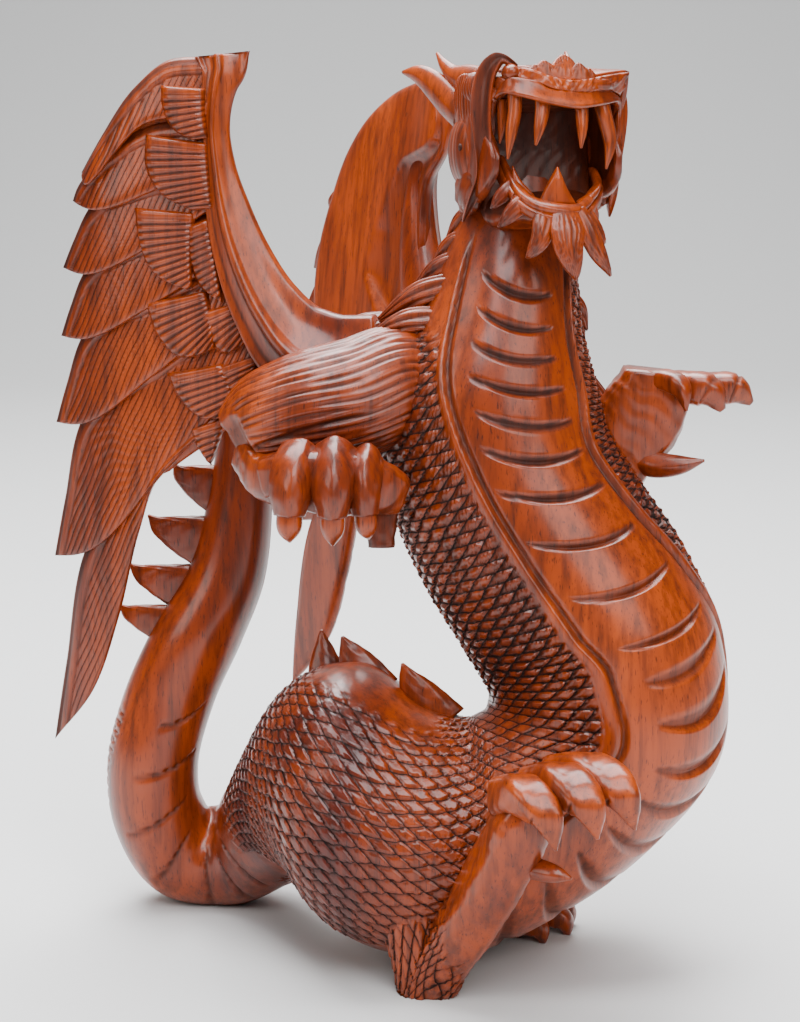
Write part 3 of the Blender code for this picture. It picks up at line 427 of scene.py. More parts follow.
class Form:
    """The surfaces of one piece, with fields that tell its wood what it needs at each point.

    The fields are a cut, the darkening of a hollow (dark staining in cuts, and painted shade where
    shade falls), and a tint from red to amber. A cut is two phases whose whole numbers are grooves,
    the groove's half width as a share of its spacing, and its strength.
    """

    def __init__(self, name, axes=FIGURE):
        self.name = name
        self.axes = axes
        self.points = []
        self.fields = []
        self.quads = []
        self.fans = np.zeros((0, 3), int)
        self.normals = None
        self.count = 0

    def rings(self, rings, cut=(), dark=0.0, tint=0.0, closed=True, normals=None):
        """Add the skin over a row of rings, with its ends closed unless it goes on in another piece."""
        if normals is not None:
            self.normals = normals.reshape(-1, 3)
        count, sides = rings.shape[:2]
        number = self.count + np.arange(count * sides).reshape(count, sides)
        follow = np.roll(number, -1, axis=1)
        order = slice(None) if faces_out(rings) else slice(None, None, -1)
        quads = np.stack([number[:-1], follow[:-1], follow[1:], number[1:]], axis=-1)
        self.quads.append(quads.reshape(-1, 4)[:, order])
        fields = np.zeros((count, sides, FIELDS))
        for column, part in [*enumerate(cut), (DARK, dark), (TINT, tint)]:
            fields[:, :, column] = part
        points = [rings.reshape(-1, 3)]
        rows = [fields.reshape(-1, FIELDS)]
        ends = ((0, number[0][::-1]), (-1, number[-1])) if closed else ()
        for place, (end, edge) in enumerate(ends):
            middle = np.full(sides, self.count + number.size + place)
            fan = np.stack([middle, edge, np.roll(edge, -1)], axis=-1)
            self.fans = np.vstack([self.fans, fan[:, order]])
            points.append(rings[end].mean(axis=0)[None])
            rows.append(fields[end].mean(axis=0)[None])
        self.points += points
        self.fields.append(np.vstack(rows))
        self.count += len(self.fields[-1])

    def sweep(self, keys, facing, step=1.2, around=None, section=OVAL, carve=None, dark=0.0, tint=0.0):
        """Add a closed form along keys of centre x, y, z, half width, half depth.

        step is the distance of its rings, and around that of the points on a ring.
        """
        length = lengths_along(np.array(keys, float)[:, :3])[-1]
        rows = curve(keys, even(max(int(length / step / SPACING), 4)))
        rows[:, 3:5] = np.maximum(rows[:, 3:5], LEAST_HALF)
        widest = rows[:, 3:5].max()
        sides = max(int(2 * np.pi * widest / (around or step) / SPACING), 10)
        angle = 2 * np.pi * np.arange(sides) / sides
        front, side = ring_axes(rows, facing)
        rings = ring_points(rows, front, side, angle, section)
        cut = ()
        if carve is not None:
            height, cut, hollow, shade = carve(lengths_along(rows[:, :3])[:, None], angle[None, :], rows)
            rings = relief(rings, height)
            dark = dark + hollow
            tint = tint + shade
        self.rings(self.axes.out(rings), cut, dark, tint)

    def plate(self, one_edge, other_edge, thick, step, across, face, bow=0.0, fade=(0.02, 0.02),
              carve=None, flat=False, dark=0.0, tint=0.0):
        """Add a flat form between two edges, with the carving on the side that face points to.

        bow is how far its middle stands out, and fade the shares of its length over which its
        thickness ends. A flat one keeps the same face all over. carve gives the height, cut,
        hollow and tint of its carving, as it does for sweep.
        """
        one_edge = np.array(one_edge, float)
        other_edge = np.array(other_edge, float)
        length = max(lengths_along(one_edge[:, :3])[-1], lengths_along(other_edge[:, :3])[-1])
        share = even(max(int(length / step / SPACING), 5))
        one = curve(one_edge, share)
        other = curve(other_edge, share)
        middle = (one + other) / 2
        half = (other - one) / 2
        size = np.linalg.norm(half, axis=1, keepdims=True)
        half = half * np.maximum(size, LEAST_WIDTH) / np.maximum(size, 1e-6)
        face = unit(face)
        if flat:
            normal = np.broadcast_to(face, middle.shape)
        else:
            normal = unit(np.cross(np.gradient(middle, axis=0), half))
            normal = normal * np.where((normal * face).sum(axis=1, keepdims=True) < 0, -1, 1)
        body = thick * np.sqrt(np.clip(share / fade[0], 0.02, 1))
        body = body * np.sqrt(np.clip((1 - share) / fade[1], 0.02, 1))
        body = np.maximum(body, LEAST_THICK)[:, None]
        count = max(int(2 * size.max() / across / SPACING), 6)
        turn = np.linspace(-1, 1, count)
        front = np.sin(turn * np.pi / 2) * 0.35 + turn * 0.65
        behind = front[::-1][1:-1][::2]
        side = np.concatenate([front, behind])[None, :]
        sign = np.concatenate([np.ones(len(front)), -np.ones(len(behind))])[None, :]
        deep = body * sign * (1 - np.abs(side) ** 4) ** 0.25 + bow * (1 - side ** 2) * body / thick
        points = middle[:, None, :] + half[:, None, :] * side[:, :, None]
        cut = ()
        if carve is not None:
            along = lengths_along(middle)[:, None] + 0 * side
            height, cut, hollow, shade = carve(along, side, 2 * size, points)
            on_front = (sign > 0) * (1 - side ** 10)
            deep = deep + height * on_front
            dark = dark + hollow * on_front
            tint = tint + shade * on_front
            if cut:
                cut = (*cut[:3], cut[3] * on_front)
        points = points + normal[:, None, :] * deep[:, :, None]
        self.rings(self.axes.out(points), cut, dark, tint)

    def shade(self, low, high, dark):
        """Paint shade on all that was added so far inside a box on the form's axes."""
        local = (np.vstack(self.points) - self.axes.at) @ self.axes.table.T
        inside = ((local > low) & (local < high)).all(axis=1)
        start = 0
        for fields in self.fields:
            fields[inside[start:start + len(fields)], DARK] = dark
            start += len(fields)

    def piece(self, material):
        """The piece as a Blender object that stands for the CAD solid."""
        points = (np.vstack(self.points) - MIDDLE) * MM
        points[:, 2] = np.maximum(points[:, 2], 0.0)
        quads = np.vstack(self.quads)
        fields = np.vstack(self.fields)
        mesh = bpy.data.meshes.new(self.name)
        mesh.vertices.add(len(points))
        mesh.vertices.foreach_set("co", points.ravel())
        corners = np.concatenate([quads.ravel(), self.fans.ravel()])
        mesh.loops.add(len(corners))
        mesh.loops.foreach_set("vertex_index", corners)
        starts = np.concatenate([np.arange(len(quads)) * 4, quads.size + np.arange(len(self.fans)) * 3])
        mesh.polygons.add(len(starts))
        mesh.polygons.foreach_set("loop_start", starts)
        mesh.polygons.foreach_set("use_smooth", np.ones(len(starts), bool))
        mesh.update(calc_edges=True)
        cut = mesh.attributes.new("cut", "FLOAT_COLOR", "POINT")
        cut.data.foreach_set("color", fields[:, :DARK].ravel())
        # the hollow field darkens the wood: dark staining in cuts, and painted shade where shade falls
        for name, column in (("hollow", DARK), ("tint", TINT)):
            field = mesh.attributes.new(name, "FLOAT", "POINT")
            field.data.foreach_set("value", fields[:, column].copy())
        if self.normals is not None:
            directions = np.vstack([self.normals, np.zeros((len(points) - len(self.normals), 3))])
            mesh.normals_split_custom_set_from_vertices(directions)
        mesh.materials.append(material)
        piece = bpy.data.objects.new(self.name, mesh)
        bpy.context.scene.collection.objects.link(piece)
        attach(piece, "root")
        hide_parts("dragon")


def spine_frame():
    """Fine rows along the spine, with their front and side directions and their distance along it."""
    rows = curve(SPINE, even(SPINE_CENTRES))
    along = unit(np.gradient(rows[:, :3], axis=0))
    place = lengths_along(rows[:, :3])
    weight = np.exp(-0.5 * ((place[:, None] - place[None, :]) / BEND_EASE) ** 2)
    along = unit(weight @ along)
    front = unit(rows[:, 5:8])
    return rows, front, unit(np.cross(along, front)), place


def body_rings(s, turn):
    """Rings of the body before any carving, at places s along and turn degrees round, and their girth."""
    rows, front, side, place = spine_frame()
    fine = np.stack([np.interp(s, place, rows[:, column]) for column in range(5)], axis=-1)
    ahead = unit(np.stack([np.interp(s, place, front[:, column]) for column in range(3)], axis=-1))
    across = unit(np.stack([np.interp(s, place, side[:, column]) for column in range(3)], axis=-1))
    angle = np.radians(turn)
    rings = fine[..., :3] + ahead * (np.cos(angle) * fine[..., 4])[..., None]
    rings = rings + across * (np.sin(angle) * fine[..., 3])[..., None]
    return rings, np.pi * (fine[..., 3] + fine[..., 4])


def fitted_phases():
    """The scales' two phases for each millimetre along the body and each degree from the belly.

    They are fitted so that scales keep their own length, width and lean as nearly as the bent
    body lets them.
    """
    s = np.arange(PATTERN_FROM, PATTERN_TO, PATTERN_STEP)
    turn = np.linspace(0.0, 180.0, PATTERN_COLUMNS)
    rings, _ = body_rings(s[:, None] + 0 * turn, turn[None, :])
    along = np.maximum(np.linalg.norm(np.diff(rings, axis=0), axis=2), 0.8)
    across = np.maximum(np.linalg.norm(np.diff(rings, axis=1), axis=2), 0.8)
    lean, length, width = table([row[:4] for row in SCALES], s)
    lean = np.radians(lean)
    number = np.arange(s.size * turn.size).reshape(s.size, turn.size)
    fine_s = np.arange(PATTERN_FROM, s[-1], 1.0)
    fine_turn = np.arange(0.0, 181.0)
    found = []
    for sign in (1, -1):
        down = (np.cos(lean) / length - sign * np.sin(lean) / width)[:, None]
        back = (np.sin(lean) / length + sign * np.cos(lean) / width)[:, None]
        matrix = np.zeros((number.size, number.size))
        wanted = np.zeros(number.size)
        for first, second, gap, rate in (
            (number[:-1], number[1:], along, (down[:-1] + down[1:]) / 2),
            (number[:, :-1], number[:, 1:], across, back),
        ):
            first = first.ravel()
            second = second.ravel()
            stiff = (1 / gap).ravel()
            pull = stiff * (rate * gap).ravel()
            for one, other, sign_of in (
                (first, first, 1), (second, second, 1), (first, second, -1), (second, first, -1),
            ):
                np.add.at(matrix, (one, other), sign_of * stiff)
            np.add.at(wanted, first, -pull)
            np.add.at(wanted, second, pull)
        matrix[0, 0] += 1.0
        grid = np.linalg.solve(matrix, wanted).reshape(number.shape)
        columns = table(np.column_stack([s, grid]), fine_s)
        found.append(table(np.column_stack([turn, columns]), fine_turn))
    return found


def read_phase(grid, s, flank):
    """A phase between the points of its grid."""
    row = np.clip(s - PATTERN_FROM, 0, grid.shape[0] - 1.001) + 0 * flank
    column = np.clip(flank, 0, 179.999) + 0 * s
    low = row.astype(int)
    left = column.astype(int)
    down = row - low
    right = column - left
    above = grid[low, left] * (1 - right) + grid[low, left + 1] * right
    below = grid[low + 1, left] * (1 - right) + grid[low + 1, left + 1] * right
    return above * (1 - down) + below * down


def scale_pattern(s, turn):
    """Phases, groove width and height of the scales at places s along and turn degrees round the body."""
    groove, height = (np.interp(s, FINE, part) for part in table(SCALES, FINE)[3:])
    p, q = (read_phase(grid, s, np.abs(turn)) for grid in fitted_phases())
    p = p + (0.09 * np.sin(0.61 * p + 1.7 * np.sin(0.43 * q)) + 0.06 * np.sin(1.9 * q + 0.8 * p))
    bowed = p + SCALE_BULGE * np.abs(np.sin(np.pi * q))
    return bowed, q + SCALE_BULGE * np.abs(np.sin(np.pi * p)), groove, height


def carve_body_skin(s, turn, around):
    """Height, cut, hollow and tint of the body's carving."""
    plate_half, border, start = (np.interp(s, FINE, part) for part in table(BORDERS, FINE))
    flank = np.abs(turn)
    height = np.zeros(s.shape)
    hollow = np.zeros(s.shape)
    tint = np.zeros(s.shape)

    groove = np.abs(flank - border) * (around / 360.0)
    shown = step_up(25, 45, s) * step_down(*STRIP_END, s)
    height -= BORDER_DEPTH * held(1 - groove / BORDER_HALF) * shown
    hollow += 0.9 * held(1.1 - groove / 1.5) * shown
    rim = step_up(border + 0.5, border + 2.5, flank) * step_down(start - 1.5, start + 0.5, flank)
    bow = held(1 - (2 * (flank - (border + start) / 2) / (start - border)) ** 2)
    height += RIM_RISE * rim * np.sqrt(bow) * shown
    dish = held(1 - (flank / border) ** 2)
    height += STRIP_RISE * dish * step_down(border, border + 1, flank) * shown
    strip = step_down(border, border + 2, flank)
    tint += (0.55 * strip * step_up(90, 260, s) + 0.25 * rim) * shown

    lag = plate_line(s, turn)
    side = -turn / plate_half
    inside = held(1 - side ** 2)
    for middle, _ in PLATE_CUTS:
        below = s - lag - middle
        wall = PLATE_WALL * (1 + 0.35 * step_up(140, 260, s)) * inside ** 0.6 + 1e-3
        deep = np.where(below < 0, held(1 + below / wall), held(1 - below / PLATE_FOOT))
        deep = deep * (inside > 0)
        height -= PLATE_DEPTH * deep * inside ** 0.7
        upper = 1.0 - 0.35 * step_up(135, 175, s)
        stained = step_up(0.02, 0.35, deep) * step_up(0.0, 0.2, inside)
        hollow += np.where(below < 0, upper, 0.9 * upper) * stained

    p, q, width, tall = scale_pattern(s, turn)
    a = np.mod(p, 1.0)
    b = np.mod(q, 1.0)
    edge = 1 - (a ** SCALE_CORNER + b ** SCALE_CORNER) ** (1 / SCALE_CORNER)
    ends = step_up(34, 48, s) * step_down(SCALES_END - 22, SCALES_END, s)
    back = 180.0 - flank
    band = step_up(BAND_FROM, BAND_FROM + 10, s) * step_down(BAND_TO - 10, BAND_TO, s)
    ragged = 4 * np.sin(2 * np.pi * p) * np.sin(2 * np.pi * q)
    band = band * step_down(BAND_HALF - 3, BAND_HALF + 3, back + ragged)
    tail_belly = step_up(455, 480, s) * step_down(35, 70, flank)
    smooth_neck = (turn > 0) * step_down(NECK_BARE - 4, NECK_BARE + 4, s + 0.25 * (flank - 90))
    amount = ends * step_up(start - 0.5, start + 1.5, flank) * (1 - band)
    amount = amount * (1 - tail_belly) * (1 - smooth_neck)
    body = step_up(0.0, width * 1.6, edge)
    slope = 0.30 + 0.70 * (1 - (a + b) / 2)
    height += amount * tall * (body * slope * 1.25 - 0.55)
    # painted shadow on the low end of each scale, next to the following scale's raised tip, over the dark
    # staining of its groove
    hollow += 0.55 * amount * step_down(0.0, width * 2.6, edge)
    tint -= 0.25 * amount
    return height, (p, q, width, amount), held(hollow), tint


def plate_line(s, turn):
    """How much further along the spine a belly cut runs at turn degrees than at its middle."""
    half = np.interp(s, FINE, table(BORDERS, FINE)[0])
    slant = np.interp(s, [row[0] for row in PLATE_CUTS], [row[1] for row in PLATE_CUTS])
    side = -turn / half
    near = np.clip(side, -1.15, 1.15)
    lag = -PLATE_SAG * near ** 2 + slant / 2 * near
    return lag * step_down(1.0, 2.2, np.abs(side))


def body_pieces(material):
    """Neck, trunk, haunch and tail, each a part of one grid along the spine."""
    place = spine_frame()[3]
    starts = [start for _, start, _, _ in BODY_PIECES[1:]] + [place[-1]]
    steps = []
    for (_, start, step, _), end in zip(BODY_PIECES, starts):
        steps.append(np.linspace(start, end, int((end - start) / step), endpoint=False))
    s = np.append(np.concatenate(steps), place[-1])[:, None]
    turn = 360.0 * np.arange(BODY_SIDES) / BODY_SIDES
    turn = np.where(turn > 180, turn - 360, turn)[None, :]
    lag = plate_line(s, turn)
    s = np.clip(s + lag * step_up(20, 50, s) * step_down(340, 400, s), 0, place[-1])
    rings, around = body_rings(s, turn)
    skin = carve_body_skin(s, turn, around)
    tail = carve_tail_skin(s, turn)
    height, hollow, tint = (skin[part] + tail[part] for part in (0, 2, 3))
    on_tail = s > SCALES_END + 20
    cut = [np.where(on_tail, tail[1][part], skin[1][part]) for part in range(4)]
    gap = np.linalg.norm(np.gradient(rings, axis=0), axis=2)
    height = height * held(2 * gap - 0.5)
    rings = relief(rings, height)
    normals = grid_normals(rings)
    at = 0
    for (name, _, _, thin), part in zip(BODY_PIECES, steps):
        stop = min(at + len(part) + 1, len(rings))
        cells = (slice(at, stop), slice(None, None, thin))
        form = Form("dragon_" + name)
        form.rings(
            rings[cells], [part[cells] for part in cut], hollow[cells], tint[cells],
            closed=name in ("neck", "tail"), normals=normals[cells],
        )
        form.piece(material)
        at = stop - 1


def carve_tail_skin(s, turn):
    """Long knife cuts across the tail's front and small scales up its outer side."""
    height = np.zeros(s.shape)
    hollow = np.zeros(s.shape)
    for middle, reach, centre in TAIL_CUTS:
        side = (turn - centre) / reach
        inside = held(1 - side ** 2)
        below = s - (middle + 5 * side + 3 * side ** 2)
        deep = np.where(below < 0, held(1 + below / TAIL_CUT_WALL), held(1 - below / TAIL_CUT_FOOT))
        height -= TAIL_CUT_DEPTH * deep * inside ** 0.7
        hollow += 0.85 * deep * step_up(0, 0.3, inside)
    amount = np.where(turn < 0, step_down(12, 24, np.abs(turn + 140)), 0.0)
    amount = amount * step_up(545, 556, s) * step_down(598, 610, s)
    p = s / TAIL_SCALE + turn / 60
    q = np.full(s.shape, 0.5)
    cell = near_whole(p)
    height -= 1.0 * amount * step_down(0, 0.3, cell)
    hollow += 0.5 * amount * step_down(0, 0.25, cell)
    return height, (p, q, np.full(s.shape, TAIL_GROOVE), amount), hollow, np.zeros(s.shape)


def head_axes():
    """Forward, left and up of the head."""
    yaw = np.radians(HEAD_YAW)
    pitch = np.radians(HEAD_PITCH)
    forward = (np.sin(yaw) * np.cos(pitch), -np.cos(yaw) * np.cos(pitch), np.sin(pitch))
    left = (np.cos(yaw), np.sin(yaw), 0.0)
    return Axes(HEAD_AT, forward, left, np.cross(forward, left))


class WingAxes(Axes):
    """Out, up and forward of a wing, whose feathers curve back toward their tips."""

    def __init__(self, at, yaw, face, scale=1.0, lean=0.0):
        turn = np.radians(yaw)
        out = np.array([np.cos(turn), np.sin(turn), 0.0])
        forward = face * np.array([-np.sin(turn), np.cos(turn), 0.0])
        super().__init__(at, out * scale, (0, 0, scale), forward)
        self.lean = lean

    def out(self, points):
        points = np.array(points, float)
        points[..., 2] -= WING_BEND * np.clip(points[..., 0] - WING_BEND_FROM, 0, None) ** 2
        placed = super().out(points)
        placed[..., 0] += self.lean * np.clip(points[..., 1], 0, None)
        return placed


def mirrored(keys):
    """The same keys on the head's other side."""
    return [(row[0], 2 * HEAD_MIDDLE - row[1], *row[2:]) for row in keys]


def furrows(spacing, depth, width=0.3):
    """Carving with grooves square to the way a form runs."""
    def carve(along, angle, rows):
        line = line_at(along / spacing + 0.0 * angle, width)
        return -depth * line, (), 0.85 * line, 0 * line
    return carve


def hair(number, depth, sway=0.004):
    """Carving with wavy grooves along a form, a number of them all round it. sway turns them as they run."""
    def carve(along, angle, rows):
        wave = 0.16 * np.sin(along / 9.0 + 3 * angle) + 0.10 * np.sin(along / 4.3 - 5 * angle)
        line = line_at(number * (angle + sway * along) / (2 * np.pi) + wave, 0.32) * step_up(0, 4, along)
        return -depth * line, (), 0.8 * line, 0 * line
    return carve


def tool_marks(along, angle):
    """Waves of the skin between -1 and 1, as a gouge leaves them."""
    return np.sin(along / 1.7 + 2 * np.sin(3.1 * angle)) * np.sin(angle * 5.3 + along / 2.9)


def rough(depth):
    """Carving with the small facets that a gouge leaves."""
    def carve(along, angle, rows):
        bumps = tool_marks(along, angle)
        return depth * bumps, (), 0.25 * held(-bumps), 0 * bumps
    return carve


def head_piece(material):
    """Skull and jaws with the open mouth, teeth, eyes, frills, horns, crest and beard."""
    form = Form("dragon_head", head_axes())
    up = (0, 0, 1)
    ahead = (1, 0, 0)
    middle = HEAD_MIDDLE

    skull = [
        (-54, middle, -8, 11, 12), (-46, middle, -3, 22, 24), (-36, middle, 1, 28, 31),
        (-28, middle, 2, 29, 32.5), (-22, middle, 2, 28, 31),
    ]
    roof = [
        (-34, middle, 24, 28, 13), (-18, middle, 27, 29, 10), (-4, middle, 27.5, 28, 7.5),
        (6, middle, 27.5, 26, 5.5), (12.5, middle, 26.5, 21, 2.5),
    ]
    floor = [
        (-34, middle, -20, 25, 12), (-18, middle, -25, 24, 9), (-4, middle, -26, 19, 5),
        (8, middle, -26.5, 13, 3), (14, middle - 1, -26, 8, 2),
    ]
    wall = [
        (-32, -23.5, 2, 4.5, 28), (-20, -24.5, 2, 4, 24), (-8, -25, 4, 3.2, 19), (-2, -24.5, 8, 2.2, 12),
    ]
    for keys in (skull, roof, floor, wall, mirrored(wall)):
        form.sweep(keys, up, section=BOXY, carve=rough(0.25))
    throat = ([(-19, middle - 25, 24), (-20, middle - 25, 0), (-19, middle - 25, -24)],
              [(-19, middle + 25, 24), (-20, middle + 25, 0), (-19, middle + 25, -24)])
    # painted shade over the throat plate and all of the mouth's inside, where shadow fills the open mouth
    form.plate(*throat, 1.5, 1.5, 1.5, ahead, carve=gouged(0.5), dark=0.75)
    form.shade((-24, middle - 26, -26), (30, middle + 26, 24), 0.8)

    lip_top = [
        (-9, -21, 13.8), (0, -22, 25.5), (6, -20.7, 28.3), (10, -18.7, 30.5), (12, -13.8, 29.7),
        (13, -8.7, 28.5), (13.5, -4.6, 25.7), (13.5, 4.7, 24.3), (12, 14.7, 23.9), (9, 20.6, 25.6),
        (5, 28.9, 23.2), (1, 33.7, 20.4), (-6, 35, 12),
    ]
    lip_edge = [
        (-8, -20.3, 5.5), (-2, -22.5, 16), (3, -23.4, 21.5), (9, -21.5, 23.6), (13, -18.2, 22.6),
        (15.5, -12.2, 21), (17, -0.6, 18.3), (17, 6.6, 17.2), (14.5, 16, 17.6), (10, 24, 18.6),
        (4, 32.3, 19.5), (-5, 34.5, 8),
    ]
    form.plate(lip_top, lip_edge, 1.7, 0.8, 0.8, ahead, bow=-0.9, fade=(0.04, 0.04))
    rim_top = [
        (8, -18, 34), (10.5, -13, 34.2), (12.5, -7.3, 32.3), (13.5, -0.1, 29.9), (13.5, 8, 28.8),
        (12.5, 14, 29.4), (9.5, 25, 31), (5, 37, 32.4),
    ]
    rim_foot = [
        (9, -17, 29), (12, -12, 28.5), (13.5, -7, 27), (14, -2, 25), (14, 5, 24), (12.5, 15, 23.6),
        (9, 24, 25), (2, 34, 22.5),
    ]
    form.plate(rim_top, rim_foot, 1.3, 0.7, 0.7, ahead, carve=gouged(0.7), fade=(0.03, 0.02), tint=0.3)
    back_of_rim = [(-6, -20, 33), (-4, -8, 34.5), (-3, 4, 34), (-4, 16, 34), (-6, 27, 33)]
    form.plate(rim_top, back_of_rim, 1.2, 1.0, 1.0, up, fade=(0.03, 0.03))
    side = [(4, 37.2, 32), (1, 37.4, 24), (-4, 37, 14), (-9, 36, 3), (-13, 34.5, -8), (-17, 31, -22)]
    side_back = [(-4, 34, 33), (-8, 35, 24), (-12, 35, 14), (-16, 34, 3), (-20, 33, -8), (-22, 29, -22)]
    form.plate(side, side_back, 1.6, 1.0, 1.0, (0, 1, 0), fade=(0.02, 0.1))

    frill = [
        (9, -15.3, 35.6), (6, -19.5, 39.5), (3, -22.5, 41), (0, -25.8, 39.1), (-3, -28.6, 34.6),
        (-4, -30.8, 27.7), (-4, -31.8, 17.1), (-4, -30.8, 7.2), (-5, -29.6, -1.9), (-7, -29, -9.3),
        (-11, -30.2, -16.3), (-20, -30.5, -28.4),
    ]
    frill_inside = [
        (9.5, -16, 33.5), (8.5, -18.1, 35), (7, -21, 37), (5, -23.4, 33), (3, -24.6, 25), (2, -25, 15),
        (1, -24.6, 6), (-2, -24, -2), (-6, -24.3, -11.1), (-12, -26.6, -19.3), (-20, -29.6, -28.2),
    ]
    form.plate(frill, frill_inside, 1.6, 0.8, 0.7, ahead, bow=-2.2, carve=edge_kept(0.75), fade=(0.02, 0.05))
    far_side = (mirrored(frill[5:]), mirrored(frill_inside[5:]))
    form.plate(*far_side, 1.6, 1.2, 1.0, ahead, bow=-2.2, fade=(0.1, 0.05))
    nostril = [(2, -17, 32, 3, 3), (8, -18, 32.5, 3.6, 3.6), (11, -18.5, 32, 2.4, 2.4)]
    form.sweep(nostril, up, step=0.7)

    teeth = [
        [(8, -16.8, 26, 3, 3), (8.5, -17, 18, 3, 2.6), (8.5, -19, 7, 2.3, 2.2), (8, -20.5, -3, 0.4, 0.4)],
        [(0, -19, 22, 2.4, 2.4), (0, -19.4, 12, 2, 2), (0, -20.6, 3.7, 0.4, 0.4)],
        [(10, -5.4, 26, 3.4, 2.4), (11, -5.6, 18.5, 3.3, 2.4), (12, -7.8, 9, 2.3, 2),
         (12, -9.5, 2.4, 0.5, 0.5)],
        [(10, 12, 26, 3.2, 2.4), (11, 12, 17, 3, 2.4), (12, 11.6, 8, 2.2, 2), (12, 11, 0.7, 0.5, 0.5)],
        [(4, 23, 25, 3.4, 3), (5, 25, 15, 3.4, 3), (4, 28, 3, 2.9, 2.6), (6, 25, -8, 0.5, 0.5)],
        [(-2, 28, 20, 2.4, 2.4), (-2, 29.5, 10, 2, 2), (-2, 29, 2, 0.4, 0.4)],
    ]
    for tooth in teeth:
        form.sweep(tooth, ahead, step=0.55, carve=hair(7, 0.18, 0.0), tint=1.3)

    jaw_rim = [
        (-12, -17.5, -1), (-4, -18.6, -6), (6, -19.5, -12.9), (14, -18.1, -19.6), (19, -13.1, -23.9),
        (21, -4.8, -26.2), (20, 4.2, -26.8), (16, 11, -24.8), (8, 18.5, -20.7), (-2, 26, -15),
        (-12, 28, -8),
    ]
    jaw_inside = [
        (-12, -15, -2), (-3, -15.5, -7.5), (7, -14.6, -14.6), (13.5, -11.5, -19.6), (17, -4.5, -22),
        (16.5, 4.5, -22.6), (12, 10, -20.8), (5, 16.5, -17.4), (-2, 22.5, -13.6), (-12, 25, -7),
    ]
    form.plate(jaw_rim, jaw_inside, 1.8, 0.8, 0.7, (1, 0, 1), bow=0.6, fade=(0.03, 0.03))
    jaw_foot = [
        (-12, -17.5, -8), (-4, -18.4, -14), (6, -18.6, -19), (13, -16.5, -25), (17, -12, -28.5),
        (18, -4.8, -30.5), (17, 4.2, -31), (14, 11, -29), (7, 18.5, -26), (-2, 25, -20), (-12, 27, -14),
    ]
    form.plate(jaw_rim, jaw_foot, 1.4, 1.0, 1.0, ahead, fade=(0.03, 0.03))
    for left_edge, right_edge in (
        ([(14, -10, -21.5), (14.5, -6.5, -15), (16, -1.9, -6.7)],
         [(14, 7.5, -22.5), (14.5, 2.8, -15), (16, -1.4, -6.7)]),
        ([(7, -17.3, -17), (4.5, -17.6, -11), (4, -17, -5.8)],
         [(11, -9.5, -19), (6, -13.8, -12), (4, -16.5, -5.8)]),
        ([(12, 8, -21.5), (10, 14, -18.4), (6, 21.2, -13.7)],
         [(8, 16.5, -20.5), (7.5, 19.5, -18), (6, 21.8, -14)]),
    ):
        form.plate(left_edge, right_edge, 1.7, 0.6, 0.6, ahead, bow=1.0, fade=(0.01, 0.3))

    def pair(keys, step, other_step, facing=up, **how):
        """Add a form on one side of the head and its mirror image on the other, with a step each."""
        form.sweep(keys, facing, step=step, **how)
        form.sweep(mirrored(keys), facing, step=other_step, **how)

    eye = [
        (-38, -24, 1, 1.5, 1.5), (-35, -25, 1, 10, 4.5), (-27, -25.5, 1, 14.5, 6.0),
        (-18, -25.5, 1, 12.5, 5.2),
        (-12, -25, 1, 2, 2),
    ]
    pair(eye, 0.7, 1.0, (0, 1, 0), carve=furrows(3.6, 0.25, 0.2))
    pair([(-19, -28, 3.0, 1.5, 1.5), (-19, -31.3, 3.0, 1.5, 1.5)], 0.5, 0.6, dark=1.0)

    brow = [(-38, -16, 25, 7, 6), (-24, -22, 27, 6.5, 7), (-12, -25, 27, 4.5, 7), (-3, -26, 29, 3, 5)]
    pair(brow, 0.6, 0.8, carve=furrows(3.1, 1.1))
    temple = [(-34, -25, 22, 2.5, 11), (-24, -26.3, 22, 2.5, 12), (-13, -26.6, 22, 2, 11)]
    pair(temple, 0.6, 0.8, carve=furrows(3.0, 1.0))
    cheek = [
        (-36, -20, -16, 7, 9), (-22, -25.5, -14, 5, 11), (-14, -25.5, -13, 3.5, 8), (-8, -25, -14, 1, 3),
    ]
    pair(cheek, 0.9, 0.9, carve=rough(0.5), dark=0.25)

    horn = [
        (-36, -22, 17, 5, 7.5), (-44, -25, 23, 4.6, 7.5), (-54, -28.5, 30.5, 3.6, 6.5),
        (-64, -32, 36, 2.6, 4.2), (-73, -36, 37.6, 0.6, 0.8),
    ]
    ear = [
        (-24, -19, 29, 5, 8), (-34, -21, 31.5, 4.4, 7), (-43, -23.5, 34.5, 3.2, 4.4),
        (-50, -25.5, 39.5, 2, 2.6), (-55, -26.5, 44.5, 0.6, 0.8),
    ]
    for keys in (horn, ear):
        pair(keys, 0.9, 0.9, section=LEAF, tint=0.5)

    lobes = [
        ([(11, -13.5, 29.5), (11.5, -12, 33), (11.5, -9.5, 35.4)],
         [(12, -4, 29), (12, -4.6, 33.5), (11.5, -8.4, 35.6)]),
        ([(12, -9, 30), (12, -8.6, 34.5), (11.5, -6, 37)], [(12, 1, 29), (12, 0, 34), (11.5, -4.6, 37.3)]),
        ([(12, -3.5, 28.5), (12, -2.6, 33.5), (10.5, 0.4, 37), (10, 3.4, 39.3)],
         [(12, 11, 27.5), (12, 10.4, 32.5), (10.5, 8.8, 37), (10, 5, 39.6)]),
        ([(12, 6, 28), (12, 7, 33.5), (11.5, 10, 36)],
         [(12, 15.5, 27.5), (12, 15, 32.5), (11.5, 11.4, 36)]),
        ([(11.5, 11, 28), (11.5, 12, 31.5), (11, 14.4, 33.8)],
         [(11, 19, 28), (11, 18.8, 31), (11, 15.6, 33.8)]),
    ]
    for left_edge, right_edge in lobes:
        form.plate(left_edge, right_edge, 1.1, 0.6, 0.6, ahead, fade=(0.01, 0.05), flat=True,
                   carve=veins(2.4, 0.4))

